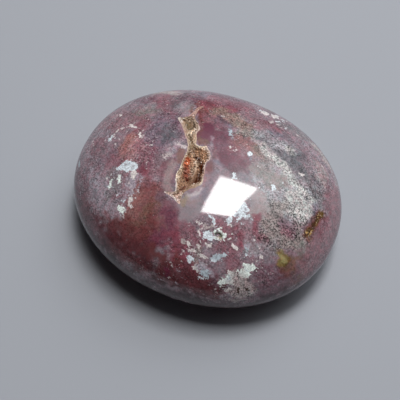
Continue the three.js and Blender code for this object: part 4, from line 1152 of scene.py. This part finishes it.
def paint_crust(lining):
    """Colours of the crystals, by their place in plan, and of the crust's cut edge around them."""
    at = places(lining)
    crown = crown_height(at[:, 0], at[:, 1])
    seen = at[:, :2] + (crown - at[:, 2])[:, None] * SEEN_SHIFT
    above = np.column_stack([seen, crown_height(seen[:, 0], seen[:, 1])])
    b = Brushwork(above, DRUSE)
    b.wash(BISCUIT, 6, (-11, 9.8), (-8, 9), (-6.4, 6.6), (-5.4, 4.6), soft=1)
    b.wash(LODEN, 1.7, (-8.5, 9.1), (-7.8, 8.5), (-7, 8), soft=0.7)
    b.wash(UMBRE, 0.7, (-6.9, 8.6), (-6.5, 8.2), soft=0.4)
    b.wash(CREAM, 1.2, (-6.3, 7.7), (-6.7, 7), (-6.8, 6.4), soft=0.4, strength=1)
    b.wash(LODEN, 0.7, (-6.8, 5.9), (-6.2, 5.2), (-5.6, 4.4), soft=0.5)
    b.wash(FAWN, 0.9, (-5.4, 6.6), (-4.9, 5), soft=0.5, strength=0.7)
    b.wash(HONEY, 1, (-5.2, 3.6), (-4.7, 2.4), (-4.8, 1.4), soft=0.8)
    b.wash(CARAMEL, 1.3, (-5, 0.8), (-4.9, -0.2), soft=0.6, strength=1)
    b.wash(TAN, 3, (-2.8, 2.6), (-1.4, 2.4), (-0.9, 0.8), soft=0.79)
    b.wash(CLAY, 0.9, (-4.4, 2.4), (-4.1, 1.8), soft=0.6)
    b.wash(FAWN, 1, (-5, 4.4), (-4.5, 3.2), soft=0.6, strength=0.7)
    b.wash(FAWN, 1, (-3.8, 1.2), (-3.2, 0.8), soft=0.6)
    b.wash(CREAM, 0.8, (-3.7, 3.6), (-2.2, 4.1), (-1.1, 3.8), soft=0.5, strength=1)
    b.wash(UMBRE, 0.8, (-2.7, 1), (-2.2, 0.5), soft=0.5, strength=1)
    b.wash(UMBRE, 0.4, (-3.7, 2.1), (-3.2, 1.7), soft=0.4, strength=0.8)
    b.wash(TERRA, 1.3, (-4.2, -1.2), (-4, -2.6), soft=0.7)
    b.wash(RUSSET, 1.5, (-3.8, -2.8), (-3.3, -3.6), (-2.9, -5), soft=0.6)
    b.wash(CLAY, 1.4, (-3.4, -5.6), (-3.1, -7), soft=0.7, strength=0.8)
    b.wash(ORANGE, 1.1, (-4.6, -0.5), (-4, -0.6), (-4.3, -1.5), soft=0.5, strength=1)
    b.wash(CREAM, 0.9, (-4.9, -3.2), (-4.6, -4.4), (-4.2, -5.8), soft=0.6, strength=0.7)
    b.wash(CREAM, 0.7, (-2.6, -0.2), (-2, -0.8), soft=0.5, strength=1)
    b.wash(BISCUIT, 1.1, (-2.3, -1.8), (-1.8, -3.2), soft=0.6)
    b.wash(CLAY, 1.6, (-1.7, -4), (-1.3, -5.2), (-1.6, -6.2), soft=0.7)
    # dark brown on the hollow's right wall: painted shade under the right rim, over the crystals' own
    # brown
    b.wash(UMBRE, 1.4, (-0.9, -0.8), (-0.4, -2.2), (-0.1, -4), (-0.6, -4.9), soft=0.7, strength=1)
    b.wash(SEPIA, 0.6, (-0.4, -2.4), (0, -3.8), soft=0.5, strength=0.7)
    b.wash(GARNET, 1, (-3, -4.8), (-2.5, -5.1), soft=0.5, strength=1)
    b.wash(GARNET, 1.2, (-2.1, -6.9), (-2.6, -7.8), soft=0.6, strength=0.75)
    b.wash(BISCUIT, 1, (0.2, -5.4), (-1, -7), (-1.8, -8.4), soft=0.6)
    b.wash(LINEN, 2, (-2.6, -9.2), (-2.4, -10.4), soft=0.7)
    b.wash(COFFEE, 0.6, (-3.1, -8.7), (-3.6, -9.3), soft=0.5, strength=0.7)
    edge = Brushwork(above, BISCUIT)
    edge.wash(ROSE, 2, (-8, 15.6), (-8.5, 13.6), (-8.6, 11.6), soft=0.7)
    edge.wash(BLUSH, 1, (-11.4, 9.9), (-10.4, 9.1), soft=0.5, strength=0.8)
    edge.wash(ROSE, 1, (-9.8, 8), (-8.4, 6.2), (-7.2, 4.6), soft=0.5, strength=0.8)
    edge.wash(LINEN, 1, (-7.4, 10.6), (-5.9, 9.2), (-5.3, 8.2), (-5.5, 7.6), soft=0.5)
    edge.wash(FAWN, 0.9, (-5.4, 6.4), (-4.8, 5), soft=0.5, strength=0.7)
    edge.wash(CREAM, 1.5, (-3.9, 3.9), (-2.6, 4.3), (-1.6, 4.3), soft=0.5, strength=1)
    edge.wash(LINEN, 1.2, (-1.2, 3.7), (0.1, 2), (0, 0.6), (0, -1), soft=0.5)
    edge.wash(ROSE, 0.8, (0.2, -1.4), (0.5, -3.4), soft=0.5, strength=0.8)
    edge.wash(CREAM, 1, (0.8, -3.8), (0.9, -4.8), soft=0.5)
    edge.wash(CLAY, 1.4, (0.2, -6), (-0.8, -6.8), (-1.8, -8), soft=0.6)
    edge.wash(CREAM, 1.8, (-5.3, -2.8), (-5.6, -4.4), (-5.3, -5.8), (-4.9, -7), soft=0.5, strength=1)
    edge.wash(BLUSH, 1, (-4.9, -6.4), (-4, -8.4), soft=0.5)
    edge.wash(LINEN, 2.4, (-5, -9.6), (-3, -10), (-2, -11), soft=0.7)
    edge.wash(COFFEE, 0.6, (-4, -9.1), (-3.3, -9.5), soft=0.5, strength=0.6)
    edge.wash(BLUSH, 0.7, (-6.2, -9.6), (-4.4, -9.9), (-3, -10.5), soft=0.5, strength=0.8)
    share = ease(1.2 - (crown - at[:, 2]) / EDGE_DEPTH)[:, None]
    b.ground += (edge.ground - b.ground) * share
    b.grain = 1 - share[:, 0] * 0.3
    b.keep(lining)


def wash_belly(b):
    """The underside and the back flank, which carry on in the crown's colours."""
    b.wash(DOVE, 12, (-26, -6), (-22, 4), (-25, 10), soft=4)
    b.wash(BRICK, 11, (-14, -12), (-8, -6), (-12, 2), soft=4, grain=0.4)
    b.wash(OXBLOOD, 6, (-11, -9), (-7, -2), soft=3, strength=0.7)
    b.wash(MADDER, 9, (-18, 10), (-10, 14), (-4, 18), soft=3)
    b.wash(RUST, 5, (-20, -3), (-17, 4), soft=2.4)
    b.wash(PLUM, 8, (-5, 8), (3, 12), (9, 11), soft=3, grain=0.4)
    b.wash(WINE, 4, (1, 13), (8, 14), soft=2)
    b.wash(STEEL, 5, (-4, 2), (-1, -3), (-2, -8), soft=2.4, grain=0.1)
    b.wash(FLINT, 9, (5, -4), (12, 0), (20, 2), soft=3, grain=0.8)
    b.wash(SILVER, 4, (8, -3), (14, 0.4), (21, 1.4), soft=1.6, grain=0.9)
    b.wash(SLATE, 4, (6, 3), (13, 5.6), (22, 6), soft=2, grain=0.8)
    b.wash(TAUPE, 7, (18, -8), (24, -4), soft=3, grain=0.7)
    b.wash(ROSEWOOD, 8, (9, -16), (18, -13), soft=3)
    b.wash(LILAC, 5, (-4, -16), (3, -12), soft=2, grain=0.1)
    b.wash(HEATHER, 7, (14, 15), (22, 10), soft=3, grain=0.6)
    b.wash(SAND, 4, (-9, 20.4), (1, 21.4), soft=2, grain=0.7)
    b.wash(ROSEWOOD, 6, (-31, 6), (-28, 13), (-24, 18), soft=3)
    b.wash(DUSK, 6, (-24, 18), (-17, 22.4), soft=3, strength=0.8)
    b.wash(BRICK, 6, (-16, 23), (-8, 25.8), (-1, 26.4), soft=3, grain=0.4)
    b.wash(PLUM, 5, (2, 26.4), (10, 25.2), soft=3, strength=0.8)
    b.wash(FLINT, 6, (14, 23.8), (21, 20), (27, 14.6), soft=2.4, grain=0.8)
    b.wash(SILVER, 2.4, (16, 22.4), (22, 18.8), (27, 13), soft=1.4, grain=0.9)
    b.wash(SLATE, 2.4, (19, 22.6), (25.4, 17.4), (29.4, 11), soft=1.4, strength=0.8, grain=0.7)
    b.wash(MADDER, 6, (31.4, 7), (32.2, 0), (31, -7), soft=3, strength=0.8)
    b.wash(UMBER, 3, (30.6, -2), (29.4, -8), soft=2, strength=0.7)
    b.wash(OLIVE, 2.2, (-3.4, -1), (-1.6, 1.6), (-2.4, 4.4), soft=0.79, strength=0.8)
    b.wash(GOLD, 0.8, (-3, 0), (-1.8, 1.8), (-2.2, 3.4), soft=0.6)
    b.wash(BRONZE, 1.4, (23, 15.6), (25.6, 12.4), soft=0.7, strength=0.9)
    # along the front below the girdle, dark washes carry the painted shade of the lower front flank on
    # down, so that it fades out
    front = ((-27.6, -11), (-22, -17.4), (-13, -22.6), (0, -24.6), (13, -22.6), (22, -17.4), (27.6, -11))
    b.wash(DUSK, 12, *front, soft=5, strength=0.8, grain=0.4)
    b.wash(EMBER, 7, *front, soft=4, strength=0.9, grain=0.3)
    b.wash(OXBLOOD, 5, (-19, -18), (-11, -21), (-6, -19), soft=3, strength=0.7, grain=0.3)
    b.wash(PLUM, 6, (5, -21), (13, -20), (19, -16.6), soft=3, strength=0.7, grain=0.3)


def mark_belly(b):
    """Flakes of chalcedony on the underside and low on the flanks: each a spot with two tails."""
    flakes = (
        (MILK, 2.2, -17.4, 2.2), (BLUSH, 1.1, -15.2, 6.8), (CHALK, 1.6, -20.8, -7.4),
        (FROST, 2.4, 6.4, -11), (MILK, 1.7, 10.4, -12.6), (BLUSH, 1.1, 2.2, -8.6),
        (CHALK, 2, 15, -10), (MILK, 1.8, 7.4, 17.8), (BLUSH, 1, 4, 16.8), (FROST, 1.9, 17.8, 13.4),
        (BLUSH, 1.2, -6.2, 9), (MILK, 1.4, -10.4, 20.2), (CHALK, 1.8, -18.4, 21.4),
        (MILK, 2, -4.2, 26), (PETAL, 1.1, 0.8, 26.4), (BLUSH, 1.2, 7.8, 25.4), (MILK, 1.7, 29.8, 8),
        (PETAL, 1.5, -29, 9.6), (MILK, 1.6, 4, -25.6), (BLUSH, 1.2, -8.4, -24.4),
        (PETAL, 1.5, 17.4, -21.2), (BLUSH, 1.3, -23, -16.8), (MILK, 1.5, -31, -2.4),
        (BEIGE, 1.7, 12.4, -24.2), (PETAL, 1, -14.6, -23), (BLUSH, 1.3, 30.4, -4.6),
    )
    for colour, size, x, y in flakes:
        at = np.array([x, y])
        along = np.array([-y, x]) / math.hypot(x, y)
        b.mark(colour, size * 0.8, at - along * size * 0.2, at + along * size * 0.4)
        b.mark(colour, size * 0.45, at + along * size * 0.3, at * 0.985 + along * size * 1.3)
        b.mark(colour, size * 0.3, at * 0.97 - along * size * 1.1, at)
        b.scatter(colour, 9, size * 0.5, at * 0.98 - along * size, at * 0.99 + along * size * 1.6)
    b.scatter(MILK, 30, 1.6, (4, -9.6), (8, -12.4), (14, -10.4), size=(0.05, 0.4))
    b.scatter(BLUSH, 34, 1.8, (-20, 0), (-16, 4), (-13, 8), size=(0.05, 0.4))
    b.scatter(PETAL, 30, 1.8, (-18, -12), (-10, -16), (-2, -19), (8, -18), size=(0.05, 0.35))
    b.scatter(BLUSH, 34, 1.5, (-20, 20.8), (-9, 24.6), (4, 26), (14, 22), size=(0.05, 0.45))


def paint_jasper(stone):
    b = Brushwork(places(stone), MAUVE)
    b.height = belly_height
    wash_belly(b)
    mark_belly(b)
    b.height = crown_height
    wash_left(b)
    wash_middle(b)
    wash_behind_the_hollow(b)
    wash_right(b)
    paint_shade_on_foot(b)
    mark_left(b)
    mark_middle(b)
    mark_front(b)
    b.keep(stone)


# ---- materials ----

QUARTZ_IOR = 1.54
JASPER_ROUGHNESS = 0.07
DRUSE_ROUGHNESS = 0.2
FLOOR_IOR = 1.3
FLOOR_ROUGHNESS = 0.9
STREAKS = (0.9, 4, 0.68)  # noise: its scale for each millimetre, its detail and its roughness
STREAK_TURNS = (82, -24)  # degrees in plan, on the left side and on the right
PATCHES = (0.6, 5, 0.72)
GRIT = (2.6, 2, 0.7)
COARSE = (0.33, 3, 0.6)
HUES = (0.9, 5, 0.75)
CRUMBS = (2.3, 3, 0.65)
DRUSE_GRIT = (3.0, 2, 0.7)
DRUSE_HUES = (1.6, 3, 0.7)


class Wire:
    """A node's output. Used in a sum, it adds the Math nodes that the sum needs."""

    def __init__(self, finish, socket):
        self.finish = finish
        self.socket = socket

    def sum(self, operation, *inputs):
        return self.finish.add("ShaderNodeMath", {"operation": operation}, inputs)

    def __add__(self, other):
        return self.sum("ADD", self, other)

    __radd__ = __add__

    def __sub__(self, other):
        return self.sum("SUBTRACT", self, other)

    def __rsub__(self, other):
        return self.sum("SUBTRACT", other, self)

    def __mul__(self, other):
        return self.sum("MULTIPLY", self, other)

    def __pow__(self, other):
        return self.sum("POWER", self, other)

    def at_most(self, other):
        return self.sum("MINIMUM", self, other)

    def at_least(self, other):
        return self.sum("MAXIMUM", self, other)


class Finish:
    """One material, with the nodes that make its finish, or the nodes of the room's light."""

    def __init__(self, name, tree=None):
        self.tree = tree
        if tree is None:
            self.material = bpy.data.materials.new(name)
            self.material.use_nodes = True
            self.tree = self.material.node_tree
            self.surface = self.tree.nodes["Principled BSDF"]

    def add(self, kind, settings=None, inputs=(), output=0):
        """Adds a node: its settings first, then the values or wires of its sockets."""
        node = self.tree.nodes.new(kind)
        for name, value in (settings or {}).items():
            setattr(node, name, value)
        pairs = inputs.items() if isinstance(inputs, dict) else enumerate(inputs)
        for key, value in pairs:
            self.feed(node.inputs[key], value)
        return Wire(self, node.outputs[output])

    def feed(self, socket, value):
        if isinstance(value, Wire):
            self.tree.links.new(value.socket, socket)
        else:
            socket.default_value = value

    def set(self, **values):
        """Sets the surface's own sockets, where an underscore in a name stands for a space."""
        for name, value in values.items():
            self.feed(self.surface.inputs[name.replace("_", " ")], value)

    def place(self):
        """The place on the piece, in millimetres."""
        spot = self.add("ShaderNodeTexCoord", output="Object")
        return self.vector("SCALE", spot, scale=1 / MM)

    def painted(self, name, output):
        """What the brushwork left on the mesh: 0 is a colour, 2 a number."""
        return self.add("ShaderNodeAttribute", {"attribute_name": name}, output=output)

    def vector(self, operation, first, second=None, scale=None, output=0):
        inputs = {0: first}
        if second is not None:
            inputs[1] = second
        if scale is not None:
            inputs["Scale"] = scale
        return self.add("ShaderNodeVectorMath", {"operation": operation}, inputs, output)

    def noise(self, at, scale, detail, roughness):
        inputs = {"Vector": at, "Scale": scale, "Detail": detail, "Roughness": roughness}
        return self.add("ShaderNodeTexNoise", inputs=inputs)

    def stretch(self, value, low, high):
        """Maps a range of values smoothly to 0 to 1 and holds it there."""
        settings = {"interpolation_type": "SMOOTHSTEP"}
        return self.add("ShaderNodeMapRange", settings, [value, low, high])

    def blend(self, share, low, high):
        """Goes from one colour to another."""
        low = (*low, 1) if isinstance(low, tuple) else low
        high = (*high, 1) if isinstance(high, tuple) else high
        return self.add("ShaderNodeMix", {"data_type": "RGBA"}, {0: share, 6: low, 7: high}, 2)


def drawn_out(finish, at, angle):
    """Noise drawn out into streaks that run at an angle in plan."""
    settings = {"vector_type": "TEXTURE"}
    turned = {"Vector": at, "Rotation": (0, 0, math.radians(angle)), "Scale": (STREAK_LENGTH, 1, 1)}
    return finish.noise(finish.add("ShaderNodeMapping", settings, turned), *STREAKS)


def jasper_finish():
    finish = Finish("polished_jasper")
    at = finish.place()
    ground = finish.painted("ground", 0)
    marks = finish.painted("marks", 0)
    cover = finish.painted("cover", 2)
    grain = finish.painted("grain", 2)

    across = finish.add("ShaderNodeSeparateXYZ", inputs=[at])
    side = finish.stretch(across, -9, 1)
    left, right = (drawn_out(finish, at, turn) for turn in STREAK_TURNS)
    streaks = finish.stretch(left + (right - left) * side, 0.36, 0.64) - 0.5
    patches = finish.stretch(finish.noise(at, *PATCHES), 0.34, 0.66) - 0.5
    grit = finish.stretch(finish.noise(at, *GRIT), 0.38, 0.62) - 0.5
    coarse = finish.stretch(finish.noise(at, *COARSE), 0.36, 0.64)
    depth = grain * 0.8 + 0.12
    light = 1 + (patches * 0.6 + streaks * 0.6 + grit * (coarse * 0.7 + grain * 0.9 + 0.4)) * depth

    hues = finish.stretch(finish.noise(at, *HUES), 0.36, 0.64) - 0.5
    red = finish.vector("MULTIPLY", ground, (1.2, 0.82, 0.86))
    grey = finish.vector("MULTIPLY", ground, (0.8, 1.18, 1.14))
    sway = hues * (grain * (1 - grain) * 1.5 + 0.08) + 0.5
    colour = finish.blend(sway.at_least(0).at_most(1), red, grey)
    colour = finish.vector("SCALE", colour, scale=light.at_least(0.15))

    crumbs = finish.noise(at, *CRUMBS) - 0.5
    speckle = (coarse * 0.22 + 0.06) * finish.stretch(grain, 0.2, 0.5)
    share = finish.stretch(cover.at_least(speckle) + crumbs * 1.7, 0.38, 0.56)
    white = finish.vector("SCALE", marks, scale=1 + grit * 0.5)
    colour = finish.blend(share * 0.94, colour, white)
    finish.set(Base_Color=colour, Roughness=JASPER_ROUGHNESS, IOR=QUARTZ_IOR)
    return finish.material


def druse_finish():
    finish = Finish("druzy_quartz")
    at = finish.place()
    grain = finish.painted("grain", 2)
    tone = finish.painted("tone", 2)
    grit = finish.stretch(finish.noise(at, *DRUSE_GRIT), 0.36, 0.64) - 0.5
    hues = finish.stretch(finish.noise(at, *DRUSE_HUES), 0.36, 0.64)
    dark = finish.vector("MULTIPLY", finish.painted("ground", 0), (0.8, 0.7, 0.62))
    pale = finish.vector("MULTIPLY", finish.painted("ground", 0), (1.2, 1.24, 1.28))
    colour = finish.blend(hues * 0.5 + 0.25, dark, pale)
    colour = finish.vector("SCALE", colour, scale=(grit * grain * 0.6 + 1) * (tone * TONE_SPREAD + 1))
    finish.set(Base_Color=colour, Roughness=DRUSE_ROUGHNESS, IOR=QUARTZ_IOR)
    return finish.material


def floor_finish():
    finish = Finish("pale_floor")
    finish.set(Base_Color=(*FLOOR_COLOUR, 1), Roughness=FLOOR_ROUGHNESS, IOR=FLOOR_IOR)
    return finish.material


def put_finish(thing, material):
    thing.data.materials.clear()
    thing.data.materials.append(material)


# ---- the setting ----


def pale_floor():
    deselect()
    bpy.ops.mesh.primitive_circle_add(
        vertices=FLOOR_SIDES, radius=FLOOR_RADIUS, fill_type="NGON", location=(0, 0, -FLOOR_DROP)
    )
    floor = finished("pale_floor")
    put_finish(floor, floor_finish())


def camera():
    azimuth, elevation = math.radians(VIEW_AZIMUTH), math.radians(VIEW_ELEVATION)
    back = Vector(
        (
            math.sin(azimuth) * math.cos(elevation),
            -math.cos(azimuth) * math.cos(elevation),
            math.sin(elevation),
        )
    )
    data = bpy.data.cameras.new("view")
    data.sensor_width = VIEW_SENSOR
    data.lens = VIEW_LENS
    data.clip_start, data.clip_end = VIEW_REACH
    view = bpy.data.objects.new("view", data)
    bpy.context.collection.objects.link(view)
    view.location = Vector(VIEW_AT) * MM
    view.rotation_mode = "QUATERNION"
    view.rotation_quaternion = back.to_track_quat("Z", "Y")
    bpy.context.scene.camera = view


def window_light():
    """One large soft window high above the stone: a bright panel, cut to the window's outline."""
    panel = new_mesh("window", WINDOW, [tuple(range(len(WINDOW)))])
    finish = bpy.data.materials.new("window_glow")
    finish.use_nodes = True
    tree = finish.node_tree
    glow = tree.nodes.new("ShaderNodeEmission")
    glow.inputs["Color"].default_value = (*WINDOW_COLOUR, 1)
    glow.inputs["Strength"].default_value = WINDOW_STRENGTH
    tree.links.new(glow.outputs[0], tree.nodes["Material Output"].inputs["Surface"])
    put_finish(panel, finish)
    panel.visible_camera = False


def room_light():
    """The room: nearly dark, with a broad soft glow from the side where its windows are."""
    world = bpy.data.worlds.new("room")
    bpy.context.scene.world = world
    world.use_nodes = True
    tree = world.node_tree
    turn, rise = math.radians(GLOW_AZIMUTH), math.radians(GLOW_ELEVATION)
    towards = (math.cos(turn) * math.cos(rise), math.sin(turn) * math.cos(rise), math.sin(rise))
    room = Finish("room", tree)
    facing = room.vector("DOT_PRODUCT", room.add("ShaderNodeTexCoord"), towards, output=1)
    glow = facing.at_least(0) ** GLOW_TIGHTNESS * GLOW_STRENGTH + ROOM_STRENGTH
    background = tree.nodes["Background"]
    background.inputs["Color"].default_value = (*ROOM_COLOUR, 1)
    room.feed(background.inputs["Strength"], glow)


# ---- the stone and its crystals ----

camera()
stone = pebble()
cut(stone, hollow_cutter())
cut(stone, pit_cutter())
paint_jasper(stone)
make_active(stone)
bpy.ops.object.shade_smooth_by_angle(angle=math.radians(SMOOTH_ANGLE))
put_finish(stone, jasper_finish())
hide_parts("stone")
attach(stone, "root")

lining = crust()
paint_crust(lining)
put_finish(lining, druse_finish())
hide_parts("druzy_crust")
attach(lining, "root")

pale_floor()
window_light()
room_light()
bpy.context.scene.view_settings.view_transform = "Standard"
